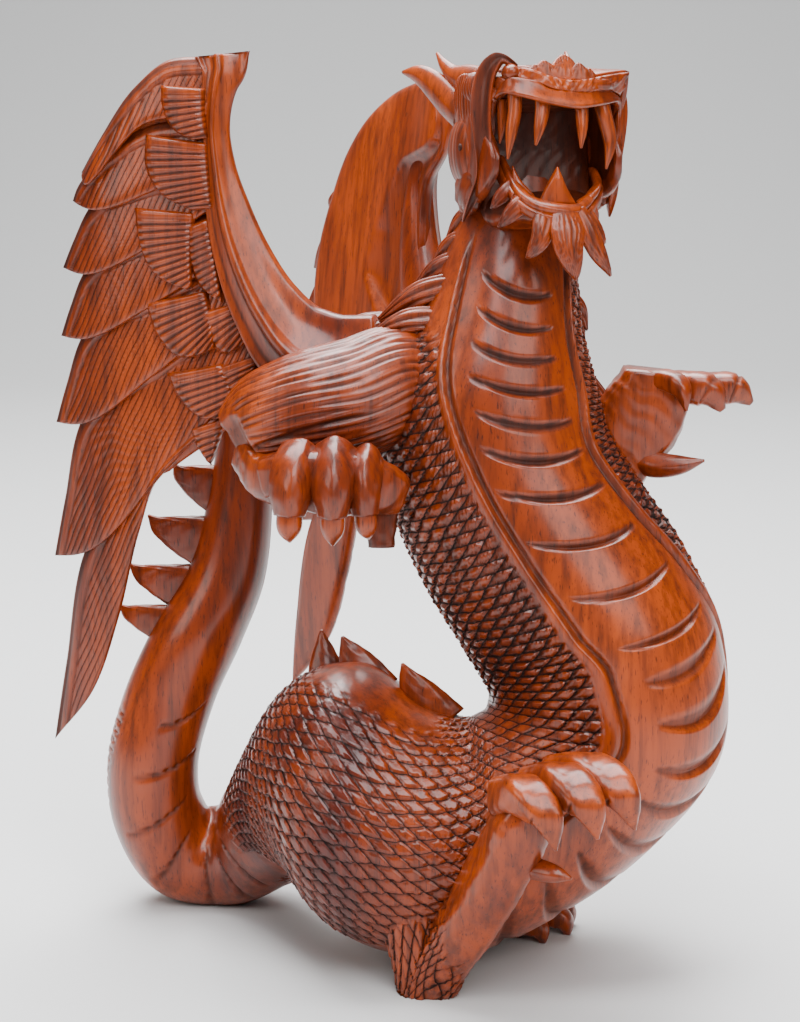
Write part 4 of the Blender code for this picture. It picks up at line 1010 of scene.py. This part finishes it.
    beard = [
        [(4, -17, -13, 3), (5, -20.3, -16, 3.4), (4, -23.5, -19.5, 2.8), (2, -26.2, -23, 0.5)],
        [(11, -14, -19, 3.4), (12, -17.6, -22, 4), (11, -21.5, -26, 3.4), (8, -25.6, -30.8, 0.5)],
        [(17, -8, -24, 4), (19, -9.5, -29, 5.2), (19.5, -11.5, -36, 4.4), (18, -14.6, -41, 2.6),
         (15.5, -16.4, -43.6, 0.5)],
        [(19, -1, -25, 6), (22, -0.5, -33, 7.6), (22.5, 0, -41, 6.4), (21.5, 2, -47, 4.4),
         (19, 4.4, -53.6, 0.6)],
        [(17, 6, -24, 3.6), (19, 9.5, -32, 4.6), (18.5, 14.5, -42, 4), (15, 22, -52.6, 0.6)],
        [(11, 10, -23, 3.2), (13, 13.5, -29, 3.8), (12.5, 17.5, -34.5, 3), (11, 21.4, -39.2, 0.5)],
        [(7, 13, -20, 3), (8, 16, -24, 3.2), (6.5, 18.5, -27.5, 2.4), (5, 20, -30.2, 0.5)],
    ]
    for keys in beard:
        rows = np.array(keys, float)
        run = unit(np.gradient(rows[:, :3], axis=0))
        across = unit(np.cross(np.array(ahead), run)) * rows[:, 3:4]
        form.plate(rows[:, :3] - across, rows[:, :3] + across, 1.5, 0.6, 0.5, ahead,
                   bow=0.9, fade=(0.01, 0.12), carve=veins(1.7, 0.45))
    form.piece(material)


def gouged(depth):
    """Carving with broad uneven facets."""
    def carve(along, share, width, points):
        across = share * width
        bumps = np.sin(along * 0.85 + 2.1 * np.sin(along * 0.31)) * np.cos(across * 0.45 + along * 0.2)
        bumps = 0.7 * bumps + 0.3 * np.sin(along * 1.9 + across * 0.7)
        return depth * bumps, (), 0.35 * held(-bumps), 0 * bumps
    return carve


def edge_kept(dark):
    """Carving darkened in its hollow, with clean edges."""
    def carve(along, share, width, points):
        inside = step_down(0.55, 0.95, np.abs(share))
        flat = 0 * inside * along
        return flat, (), dark * inside + flat, flat
    return carve


def veins(spacing, depth):
    """Carving with fine grooves along a leaf."""
    def carve(along, share, width, points):
        phase = share * width / spacing + 0.12 * np.sin(along / 3.0)
        line = line_at(phase, 0.22) * step_up(1.5, 4, along)
        line = line * step_down(0.8, 0.95, np.abs(share))
        return -depth * line, (), 0.75 * line, 0 * line
    return carve


def feather_skin(along, share, width, points):
    """Carving of a long feather: a quill band along its upper edge, then fine slanting barbs."""
    from_top = (1 - share) / 2 * width
    phase = (points[..., 0] * BARB_WAY[0] + points[..., 1] * BARB_WAY[1]) / BARB_SPACING
    phase = phase + 0.10 * np.sin(points[..., 1] / 6.0) + 0.07 * np.sin(points[..., 0] / 2.3)
    low, high = QUILL
    barbed = step_up(high + 0.3, high + 1.5, from_top) * step_down(0.93, 0.99, -share)
    line = line_at(phase + 0.12, 0.25) * barbed
    band = step_up(low - 1.2, low, from_top) * step_down(high - 0.8, high, from_top)
    rule = held(1 - np.abs(from_top - high - 0.2) / 0.7)
    # under: painted shadow cast by the feather above across this feather's top edge
    under = step_down(low - 1.0, low + 0.6, from_top)
    height = 0.8 * band - 0.55 * line - 0.5 * rule
    hollow = held(0.35 * line + 0.75 * rule + 0.95 * under)
    return height, (phase, 0.0, 0.24, 0.85 * barbed), hollow, 0.1 * barbed


def covert_skin(along, share, width, points):
    """Carving of a covert: a smooth band, then ribs straight across."""
    phase = (along - COVERT_BAND) / COVERT_RIB + 0.03 * np.sin(share * 4 + along)
    ribbed = step_up(0.0, 0.5, along - COVERT_BAND)
    line = line_at(phase, 0.24, 1.25) * ribbed * step_down(0.9, 1.0, np.abs(share))
    return -line, (), 0.95 * line, 0.15 * (1 - ribbed) - 0.1 * ribbed


def wing_arm_skin(along, angle, rows):
    """Carving of a wing's leading edge: a thin bead, a valley, a ridge and a broad hollow facet."""
    turn = np.degrees(signed(angle))
    size = rows[:, 3:4] / 14.0

    def bump(middle, reach):
        return held(1 - ((turn - middle) / reach) ** 2)

    height = 1.3 * bump(56, 9) - 1.6 * bump(33, 20) + 1.9 * bump(6, 11) ** 1.5 - 3.0 * bump(-38, 36)
    hollow = 0.75 * bump(43, 4) + 0.7 * bump(19, 4) + 0.8 * bump(69, 5)
    return height * size, (), held(hollow) + 0 * along, 0.25 * bump(-38, 36) + 0 * along


def lifted(edge):
    """The edge of a covert, which stands further forward toward its end."""
    return [(*point, COVERT_FORWARD + COVERT_RISE * place / len(edge)) for place, point in enumerate(edge)]


def wing_piece(name, axes, arm_top, fine, back, material):
    """Leading edge, long feathers and coverts, over a smooth back between two edges."""
    form = Form(name, axes)
    face = (0, 0, 1)
    form.sweep(WING_ARM + arm_top, face, step=1.2 * fine, around=0.9 * fine, carve=wing_arm_skin)
    for number in range(len(FEATHER_TIPS)):
        root = np.array(FEATHER_ROOTS[number], float)
        under = np.array(FEATHER_ROOTS[number + 1], float)
        tip = np.array(FEATHER_TIPS[number], float)
        notch = np.array(FEATHER_NOTCHES[number], float)
        lift = (1, FEATHER_LIFTS[number])
        upper = [root, root + (notch - root) * 0.5 + lift, notch, tip + (notch - tip) * 0.4 + (1, 0.5)]
        if number + 1 < len(FEATHER_TIPS):
            turn = np.array(FEATHER_NOTCHES[number + 1], float) - (0, 4)
            sag = (0, FEATHER_SAGS[number])
            lower = [under, under + (turn - under) * 0.5 - sag, turn + (tip - turn) * 0.3]
        else:
            lower = LAST_FEATHER_EDGE
        upper = [(*point, -FEATHER_TILT) for point in upper] + [(*tip, 0)]
        lower = [(*point, FEATHER_TILT) for point in lower] + [(*tip, 0)]
        form.plate(lower, upper, FEATHER_THICK, 1.0 * fine, 0.9 * fine, face, fade=(0.001, 0.25),
                   carve=feather_skin, flat=True)
    for one_edge, other_edge in COVERTS:
        form.plate(lifted(one_edge), lifted(other_edge), 3.0, 0.6 * fine, 2.2 * fine, face, fade=(0.03, 0.1),
                   carve=covert_skin)
    *edges, thick, carve = back
    edges = [[(*point, WING_BACK_AT) for point in edge] for edge in edges]
    form.plate(*edges, thick, 1.8, 1.8, (0, 0, -1), fade=(0.04, 0.06), flat=True, carve=carve)
    form.piece(material)


def plain_back_skin(along, share, width, points):
    """Shallow gouge strokes down the back of a wing."""
    stroke = 0.25 * np.sin(points[..., 0] / 2.6 + 1.5 * np.sin(points[..., 1] / 17.0))
    return stroke, (), 0 * stroke, 0.2 + 0 * stroke


def ridged_back_skin(along, share, width, points):
    """Back of the left wing: a long ridge with a hollow facet toward the leading edge."""
    ridge = np.interp(along / along.max(), BACK_RIDGE[0], BACK_RIDGE[1])
    inner = held((ridge - share) / (ridge + 1.02))
    outer = held((share - ridge) / (1 - ridge))
    facet = (share < ridge) * 4 * inner * (1 - inner)
    height = 1.6 * (1 - outer) * (share >= ridge) + (1.6 - 4.2 * facet - 1.5 * inner) * (share < ridge)
    swell = 0.2 * np.sin(points[..., 0] / 5.0 + np.sin(points[..., 1] / 31.0))
    return height + swell, (), 0.25 * facet, 0.45 + 0.4 * facet


def claw(form, keys, facing):
    """A toe that ends in a pointed claw, with a step where the claw comes out of the toe."""
    keys = np.array(keys, float)
    before, last, tip = keys[-3:]
    root = last[:3] + (before[:3] - last[:3]) * 0.25
    bend = last[:3] + (tip[:3] - last[:3]) * 0.5 + unit(last[:3] - before[:3]) * 2
    form.sweep(keys[:-1], facing, step=TOE_STEP, section=RIDGED, carve=rough(0.15))
    nail = [(*root, *last[3:] * 0.84), (*bend, *last[3:] * 0.62), tip]
    form.sweep(nail, facing, step=TOE_STEP * 0.8, tint=0.9)


def toe_skin(cut_at, pale=0.5):
    """Carving of a toe: fine tool marks, and one knife cut where its claw begins."""
    def carve(along, angle, rows):
        marks = 0.06 * np.sin(along * 1.3 + 2 * np.sin(angle * 3))
        across = held(1 - np.abs(along - cut_at) / 0.8) * step_up(-0.2, 0.4, np.cos(angle) + np.sin(angle))
        return marks - 1.0 * across, (), 0.9 * across, pale * step_up(cut_at - 6, cut_at, along) + 0 * angle
    return carve


def upper_arm_skin(along, angle, rows):
    """Carving of the right upper arm: wavy strands of hair, and a hollow facet at the elbow."""
    turn = np.degrees(signed(angle))
    wave = 0.14 * np.sin(along / 14.0 + 2.6 * angle) + 0.08 * np.sin(along / 5.7 - 5 * angle)
    phase = ARM_STRANDS * (angle + 0.10 * np.sin(along / 30.0)) / (2 * np.pi) + wave
    fade = 0.55 + 0.45 * np.sin(2.1 * np.floor(phase) + along / 8.0)
    line = line_at(phase + 0.5, 0.30) * np.clip(fade * 1.8, 0.15, 1)
    reach = 92.0 + 7.0 * step_up(20, 60, turn)
    haired = step_down(reach - 1.5, reach + 0.5, along)
    parted = np.exp(-(((turn + 10 + 0.25 * (along - 60)) / 3.0) ** 2)) * step_up(40, 60, along) * haired
    facet = step_up(reach, reach + 5, along) * step_down(15, 40, turn) * step_up(-110, -80, turn)
    lip = held(1 - np.abs(along - reach) / 1.6) * step_down(15, 40, turn) * step_up(-110, -80, turn)
    height = -1.15 * line * haired - 1.4 * parted - 2.6 * facet + 0.5 * lip
    hollow = 0.8 * line * haired + 0.8 * parted + 0.5 * facet
    return height, (), held(hollow), 0.15 * haired * (1 - line) - 0.2 * facet


def arms_piece(material):
    """Upper arms covered in strands of hair, forearms and three-toed hands."""
    form = Form("dragon_arms")
    front = (0, -1, 0)
    up = (0, 0, 1)
    right_upper = [
        (24, 2, 262, 12, 12), (4, -4, 262, 24, 21), (-18, -14, 256, 26, 24), (-46, -18, 250, 24, 22),
        (-62, -14, 244, 20, 18), (-72, -12, 239, 13, 12),
    ]
    form.sweep(right_upper, front, step=1.4, around=0.7, carve=upper_arm_skin)
    right_fore = [
        (-64, -14, 232, 9, 10), (-56, -30, 225, 9, 10), (-42, -42, 226, 11, 13), (-28, -46, 226, 12, 14),
        (-12, -42, 223, 12, 12), (-2, -36, 218, 9, 9),
    ]
    form.sweep(right_fore, up, section=BOXY, carve=rough(0.3))
    for toe in (
        [(-41, -46, 239, 9, 8), (-44, -55, 231, 10, 9), (-45.5, -58, 222, 9, 9),
         (-46, -59, 213.5, 6.6, 7), (-46, -58, 202, 0.6, 0.6)],
        [(-27, -48, 240, 9, 8), (-27.5, -58, 232, 10, 9), (-28, -61, 222, 8.6, 9),
         (-28, -61, 213.5, 6.2, 7), (-28, -60, 201, 0.6, 0.6)],
        [(-14, -45, 236, 7, 8), (-15, -54, 230, 8, 8.5), (-15, -57, 222, 7, 8),
         (-14.5, -58, 213.5, 5.6, 6), (-13, -56, 203, 0.6, 0.6)],
    ):
        claw(form, toe, front)
    knuckles = [
        (-56, -42, 226, 7, 8), (-46, -47, 229, 9, 9.5), (-28, -50, 230, 10, 10), (-10, -44, 228, 9, 8.5),
    ]
    form.sweep(knuckles, up, section=BOXY, carve=rough(0.25))
    # painted shade on the right thumb, which lies in shadow below the hand
    thumb = [(-8, -32, 224, 8, 8), (-8, -38, 211, 7, 7), (-8, -40, 196, 5.5, 6)]
    form.sweep(thumb, front, section=BOXY, dark=0.5, carve=rough(0.4))

    left_upper = [
        (52, 18, 262, 22, 20), (72, 28, 246, 20, 18), (88, 32, 226, 16, 15), (94, 28, 212, 11, 11),
    ]
    form.sweep(left_upper, (0, 1, 0), step=2.0, around=1.1, carve=hair(30, 0.9))
    left_fore = [
        (86, 22, 206, 15, 10), (98, 18, 227, 17, 10.5), (107, 17, 243, 19, 11), (111, 17, 255, 17, 10.5),
        (112, 17, 263, 13, 10),
    ]
    form.sweep(left_fore, front, section=BOXY, carve=rough(0.35), tint=0.25)
    for toe, cut_at in (
        ([(108, 19, 257, 6, 5), (117, 9, 260, 5.5, 4.5), (122.5, 2, 257.5, 4, 4.4),
          (125, -1, 247.6, 0.6, 0.6)], 60),
        ([(112, 20, 255, 8, 7), (126, 14, 256, 8, 7), (136, 10, 254.5, 7, 7),
          (142, 8, 246.5, 1.2, 1.6)], 26),
        ([(118, 26, 254, 8, 6.5), (137, 24, 254.5, 8, 6.4), (150, 22, 253, 6.4, 6.4),
          (156.5, 21, 247.5, 1.4, 1.4)], 31),
    ):
        form.sweep(toe, up, step=0.7, section=BOXY, carve=toe_skin(cut_at, 0.3), tint=0.4)
    thumb = [
        (102, 17, 225, 6, 7), (113, 9, 222, 5.4, 6), (124, 4, 223, 3.8, 4.2), (133.5, 0, 225.6, 0.6, 0.6),
    ]
    form.sweep(thumb, up, step=0.8, section=KEEL)
    form.piece(material)


def legs_piece(material):
    """Hind legs: thigh down to the heel, foot with three curled claws and a spur."""
    form = Form("dragon_legs")
    left = (-1, 0, 0)
    front = (0, -1, 0)
    up = (0, 0, 1)
    thigh = [(6, -36, 58, 24, 22), (8, -46, 36, 19, 17), (10, -50, 16, 14, 13), (11, -50, -6, 11, 11)]
    form.sweep(thigh, front, around=0.8, carve=leafy(LEAF_ROWS_ANKLE, 0.0, 200.0))
    foot = [
        (10, -48, -6, 12, 12), (17, -54, 14, 13, 12), (31, -66, 42, 15, 12), (44, -76, 70, 16, 12),
        (52, -82, 92, 15, 12), (56, -84, 100, 11, 9),
    ]
    form.sweep(foot, left, section=BOXY, carve=sole_skin)
    for toe, cut_at in (
        ([(44, -80, 98, 9, 9), (52, -93, 103, 8, 9), (60, -101, 97, 5.6, 7), (64, -101, 82, 0.6, 0.6)], 28),
        ([(56, -77, 101, 9, 9.5), (68, -91, 107.5, 8, 9.5), (77, -101, 101, 6, 7.4),
          (81, -101, 87, 0.6, 0.6)], 32),
        ([(66, -68, 103, 9, 9.5), (80, -82, 109, 8, 9.5), (91.5, -93, 103, 6.4, 7.6),
          (97, -93, 88, 0.6, 0.6)], 37),
    ):
        form.sweep(toe, left, step=0.7, section=BOXY, carve=toe_skin(cut_at), tint=0.2)
    spur = [(48, -78, 70, 6, 6), (58, -88, 69, 5, 5), (66, -94, 69, 3.4, 3.4), (71, -96, 68, 0.6, 0.6)]
    form.sweep(spur, up, step=0.8, section=KEEL)
    web = [(50, -84, 99, 8, 9), (64, -82, 103, 9, 9.5), (80, -74, 105, 8, 9)]
    form.sweep(web, up, section=BOXY, carve=rough(0.2), tint=0.2)

    thigh = [(-4, 30, 60, 24, 20), (6, 40, 36, 19, 16), (10, 44, 14, 14, 12), (11, 44, -6, 11, 11)]
    form.sweep(thigh, (0, 1, 0), carve=rough(0.3))
    foot = [(10, 44, 4, 12, 9), (28, 36, 6, 13, 9), (46, 24, 6, 13, 8), (60, 15, 6, 12, 7)]
    form.sweep(foot, up, section=BOXY, carve=rough(0.3))
    for x, y in ((66, 2), (78, 12), (80, 24)):
        toe = [
            (x - 18, y + 8, 7, 6, 6), (x - 8, y + 3, 9, 5.5, 5.5), (x - 2, y + 1, 6, 4.4, 4.4),
            (x, y, -1, 0.8, 0.8),
        ]
        form.sweep(toe, up, section=BOXY)
    form.piece(material)


def leafy(number, start, end):
    """Carving with long pointed leaves over each other, from start to end along a form."""
    def carve(along, angle, rows):
        turn = signed(angle)
        ragged = 5.0 * np.sin(number * turn) + 14.0 * np.abs(turn + 0.2)
        shown = step_up(start - 1, start + 1, along) * step_down(-3, 3, along + ragged - end)
        p = along / LEAF_LENGTH + number * angle / (2 * np.pi)
        q = along / LEAF_LENGTH - number * angle / (2 * np.pi)
        a = np.mod(-p, 1.0)
        b = np.mod(-q, 1.0)
        edge = np.minimum(1 - a, 1 - b)
        body = step_up(0.0, 0.3, edge)
        height = shown * (1.7 * body * (1.1 - 0.5 * (a + b)) - 0.8)
        hollow = 0.75 * shown * step_down(0.0, 0.3, edge)
        return height, (-p, -q, LEAF_GROOVE + 0 * p, shown), hollow, 0.3 * shown
    return carve


def sole_skin(along, angle, rows):
    """Carving of the raised foot: fine gouge marks, and an oval hollow in its side below the toes."""
    bumps = 0.25 * tool_marks(along, angle)
    off = ((along - 104) / 15.0) ** 2 + ((signed(angle) + 0.45) / 0.42) ** 2
    dish = held(1 - off)
    height, cut, hollow, tint = leafy(LEAF_ROWS_FOOT, 0.0, 58.0)(along, angle, rows)
    return height + bumps - 3.2 * np.sqrt(dish), cut, hollow + 0.55 * step_up(0.0, 0.6, dish), tint + 0.2


def fins_piece(material):
    """Curved fins along the back and saw-like ones up the outer side of the tail."""
    form = Form("dragon_fins")
    back = [
        [(18, -2, 106, 13, 4.2), (10, -2, 118, 9, 3.4), (4, -2, 127, 5, 2.2), (1, -2, 134, 0.6, 0.6)],
        [(-12, 6, 118, 13, 4.2), (-19, 8, 130, 9, 3.4), (-23, 10, 137, 5, 2.2), (-26, 11, 143, 0.6, 0.6)],
        [(-32, 20, 112, 11, 4.2), (-34, 25, 124, 8, 3.4), (-35, 28, 133, 4.5, 2.2),
         (-36, 30, 141, 0.6, 0.6)],
    ]
    for keys in back:
        form.sweep(keys, (0, -1, 0), step=1.1, section=LEAF, carve=rough(0.15))
    tail = [
        (-76, 58, 213, -105, 30), (-79, 57, 189, -117, 32), (-86, 56, 166, -126, 30),
        (-100, 54, 147, -131, 24),
    ]
    for x, y, top, tip, tall in tail:
        keys = []
        for share in (0.0, 0.35, 0.7, 0.9, 1.0):
            high = tall * (1 - share) ** 0.6 / 2
            keys.append((x + (tip - x) * share, y, top - high, high, 5.5 - 4.6 * share))
        form.sweep(keys, (0, -1, 0), section=BOXY, step=1.5, carve=rough(0.2))
    form.piece(material)


def mane_piece(material):
    """Locks that stand off the back of the neck and run down over the shoulder."""
    form = Form("dragon_mane")
    locks = [
        [(38, 2, 333), (29, 5, 329), (21, 8, 322)], [(34, 0, 322), (24, 5, 318), (14, 9, 310)],
        [(30, -2, 313), (18, 3, 308), (5, 8, 298)], [(26, -6, 303), (9, -2, 298), (-9, 4, 287)],
        [(20, -8, 288), (4, -8, 287), (-13, -4, 281)], [(36, 20, 322), (30, 28, 314), (26, 33, 304)],
        [(32, 22, 304), (24, 32, 296), (18, 38, 286)], [(66, 14, 312), (72, 18, 305), (77, 20, 297)],
        [(68, 14, 296), (76, 18, 289), (82, 22, 280)], [(58, 24, 318), (60, 32, 309), (62, 37, 299)],
        [(52, 28, 300), (54, 38, 291), (54, 44, 281)],
    ]
    front = (0, -1, 0)
    for root, middle, tip in locks:
        form.sweep([(*root, 7, 6), (*middle, 6.8, 5.6), (*tip, 1.6, 1.6)], front, step=0.9, around=0.6,
                   carve=hair(11, 1.1))
    shoulder = [(6, 24, 268, 20, 16), (-8, 18, 274, 18, 15), (-24, 10, 272, 16, 14)]
    form.sweep(shoulder, (0, 0, 1), step=1.4, around=0.8, carve=hair(30, 0.9))
    left_shoulder = [(36, 20, 268, 18, 18), (26, 42, 266, 16, 15), (18, 62, 262, 14, 13)]
    form.sweep(left_shoulder, (0, 0, 1), step=1.4, around=0.8, carve=hair(30, 0.9))
    form.piece(material)


def wood():
    """Red-brown wood under satin varnish: grain up the block, pores, dark staining in every cut, and painted
    shade.
    """
    material = bpy.data.materials.new("carved_wood")
    material.use_nodes = True
    nodes = material.node_tree.nodes

    def feed(made, values):
        """Give a node's inputs a value each, or link another node's output to them."""
        for place, value in values.items():
            if isinstance(value, bpy.types.NodeSocket):
                material.node_tree.links.new(value, made.inputs[place])
            else:
                made.inputs[place].default_value = value

    def node(kind, values, **settings):
        made = nodes.new(kind)
        for key, value in settings.items():
            setattr(made, key, value)
        feed(made, values)
        return made.outputs

    def reckon(operation, *values, clamp=False):
        return node("ShaderNodeMath", dict(enumerate(values)), operation=operation, use_clamp=clamp)[0]

    def blend(share, first, second):
        return node("ShaderNodeMix", {0: share, 6: first, 7: second}, data_type="RGBA")[2]

    def noise(scale, stretch, detail, roughness, distortion):
        place = node("ShaderNodeMapping", {"Vector": where, "Scale": (1.0, 1.0, stretch)})["Vector"]
        how = {"Scale": scale, "Detail": detail, "Roughness": roughness, "Distortion": distortion}
        return node("ShaderNodeTexNoise", {"Vector": place, **how})["Fac"]

    def ramp(value, low, high):
        limits = {"From Min": low, "From Max": high}
        return node("ShaderNodeMapRange", {"Value": value, **limits}, clamp=True)["Result"]

    def field(name):
        return node("ShaderNodeAttribute", {}, attribute_name=name)

    where = node("ShaderNodeTexCoord", {})["Object"]
    streaks = noise(*WOOD_STREAKS)
    pore = reckon("SUBTRACT", 1.0, ramp(noise(*WOOD_PORES), 0.30, 0.40))

    cut = field("cut")
    parts = node("ShaderNodeSeparateColor", {"Color": cut["Color"]})
    powers = [reckon("POWER", reckon("FRACT", parts[name]), SCALE_CORNER) for name in ("Red", "Green")]
    nearest = reckon("SUBTRACT", 1.0, reckon("POWER", reckon("ADD", *powers), 1 / SCALE_CORNER))
    slack = reckon("DIVIDE", nearest, reckon("MAXIMUM", parts["Blue"], 0.001))
    line = reckon("SUBTRACT", 1.0, ramp(slack, 0.2, 1.0))
    line = reckon("MULTIPLY", line, cut["Alpha"], clamp=True)
    # darkening from the cut lines' staining and the hollow field, which holds both dark staining and painted
    # shade
    stain_and_shade = reckon("MAXIMUM", reckon("MULTIPLY", field("hollow")["Fac"], 0.8), reckon("MULTIPLY", line, 0.96))

    warmth = reckon("MULTIPLY_ADD", field("tint")["Fac"], 0.5, ramp(noise(*WOOD_FIGURE), 0.32, 0.68))
    clouds = reckon("MULTIPLY", ramp(noise(*WOOD_CLOUDS), 0.3, 0.7), 0.3)
    warmth = reckon("ADD", clouds, reckon("MULTIPLY", warmth, 0.75), clamp=True)
    color = blend(warmth, WOOD_RED, WOOD_AMBER)
    color = blend(reckon("MULTIPLY", ramp(streaks, 0.42, 0.68), 0.62), color, WOOD_DARK)
    color = blend(reckon("MULTIPLY", pore, 0.65), color, WOOD_PORE)
    color = blend(stain_and_shade, color, WOOD_STAIN_AND_SHADE)

    level = reckon("MULTIPLY_ADD", line, -1.0, reckon("MULTIPLY", pore, -0.06))
    level = reckon("MULTIPLY_ADD", noise(*WOOD_WAVES), 0.25, level)
    level = reckon("MULTIPLY_ADD", streaks, 0.05, level)
    grain = node("ShaderNodeBump", {"Height": level, "Strength": GRAIN_STRENGTH, "Distance": GRAIN_DEPTH})
    roughness = reckon("MULTIPLY_ADD", streaks, 0.12, WOOD_ROUGHNESS)
    feed(nodes["Principled BSDF"], {
        "Base Color": color,
        "Roughness": reckon("MULTIPLY_ADD", stain_and_shade, 0.35, roughness, clamp=True),
        "Specular IOR Level": WOOD_SHINE,
        "Coat Weight": reckon("MULTIPLY_ADD", stain_and_shade, -VARNISH, VARNISH, clamp=True),
        "Coat Roughness": VARNISH_ROUGHNESS,
        "Coat IOR": VARNISH_IOR,
        "Normal": grain["Normal"],
    })
    return material


def set_stage():
    """Pale floor, soft light and the camera."""
    scene = bpy.context.scene
    mesh = bpy.data.meshes.new("floor")
    profile = [(FLOOR_FRONT, 0.0)]
    for turn in np.linspace(0, np.pi / 2, 24):
        profile.append((FLOOR_BACK + FLOOR_BEND * math.sin(turn), FLOOR_BEND * (1 - math.cos(turn))))
    profile.append((FLOOR_BACK + FLOOR_BEND, WALL_TOP))
    points = [(x, y, z) for y, z in profile for x in (-FLOOR_HALF, FLOOR_HALF)]
    faces = [(2 * n, 2 * n + 1, 2 * n + 3, 2 * n + 2) for n in range(len(profile) - 1)]
    mesh.from_pydata(points, [], faces)
    mesh.polygons.foreach_set("use_smooth", np.ones(len(faces), bool))
    floor = bpy.data.objects.new("floor", mesh)
    scene.collection.objects.link(floor)
    pale = bpy.data.materials.new("pale_floor")
    pale.use_nodes = True
    surface = pale.node_tree.nodes["Principled BSDF"].inputs
    surface["Base Color"].default_value = FLOOR_COLOR
    surface["Roughness"].default_value = FLOOR_ROUGHNESS
    mesh.materials.append(pale)

    scene.world = bpy.data.worlds.new("studio")
    scene.world.use_nodes = True
    sky = scene.world.node_tree.nodes["Background"].inputs
    sky["Color"].default_value = SKY_COLOR
    sky["Strength"].default_value = SKY_STRENGTH
    for name, at, size, power, color in LIGHTS:
        light = bpy.data.lights.new(name, "AREA")
        light.size = size
        light.energy = power
        light.color = color
        lamp = bpy.data.objects.new(name, light)
        scene.collection.objects.link(lamp)
        lamp.location = at
        aim = np.array(LIT) - np.array(at)
        down = math.acos(-aim[2] / np.linalg.norm(aim))
        lamp.rotation_euler = (down, 0, math.atan2(aim[1], aim[0]) - math.pi / 2)

    camera = bpy.data.objects.new("camera", bpy.data.cameras.new("camera"))
    camera.data.lens = CAMERA_LENS
    camera.location = (np.array(CAMERA_AT) - MIDDLE) * MM
    camera.rotation_euler = (math.radians(90 - CAMERA_PITCH), 0, 0)
    scene.collection.objects.link(camera)
    scene.camera = camera


carved = wood()
body_pieces(carved)
head_piece(carved)
right_wing = WingAxes(RIGHT_WING_AT, RIGHT_WING_YAW, 1)
left_wing = WingAxes(LEFT_WING_AT, LEFT_WING_YAW, -1, LEFT_WING_SCALE, LEFT_WING_LEAN)
wing_piece("dragon_right_wing", right_wing, RIGHT_ARM_TOP, 1.0, (*RIGHT_BACK, 3.0, plain_back_skin), carved)
wing_piece("dragon_left_wing", left_wing, LEFT_ARM_TOP, 2.0, (*LEFT_BACK, 5.0, ridged_back_skin), carved)
arms_piece(carved)
legs_piece(carved)
fins_piece(carved)
mane_piece(carved)
set_stage()
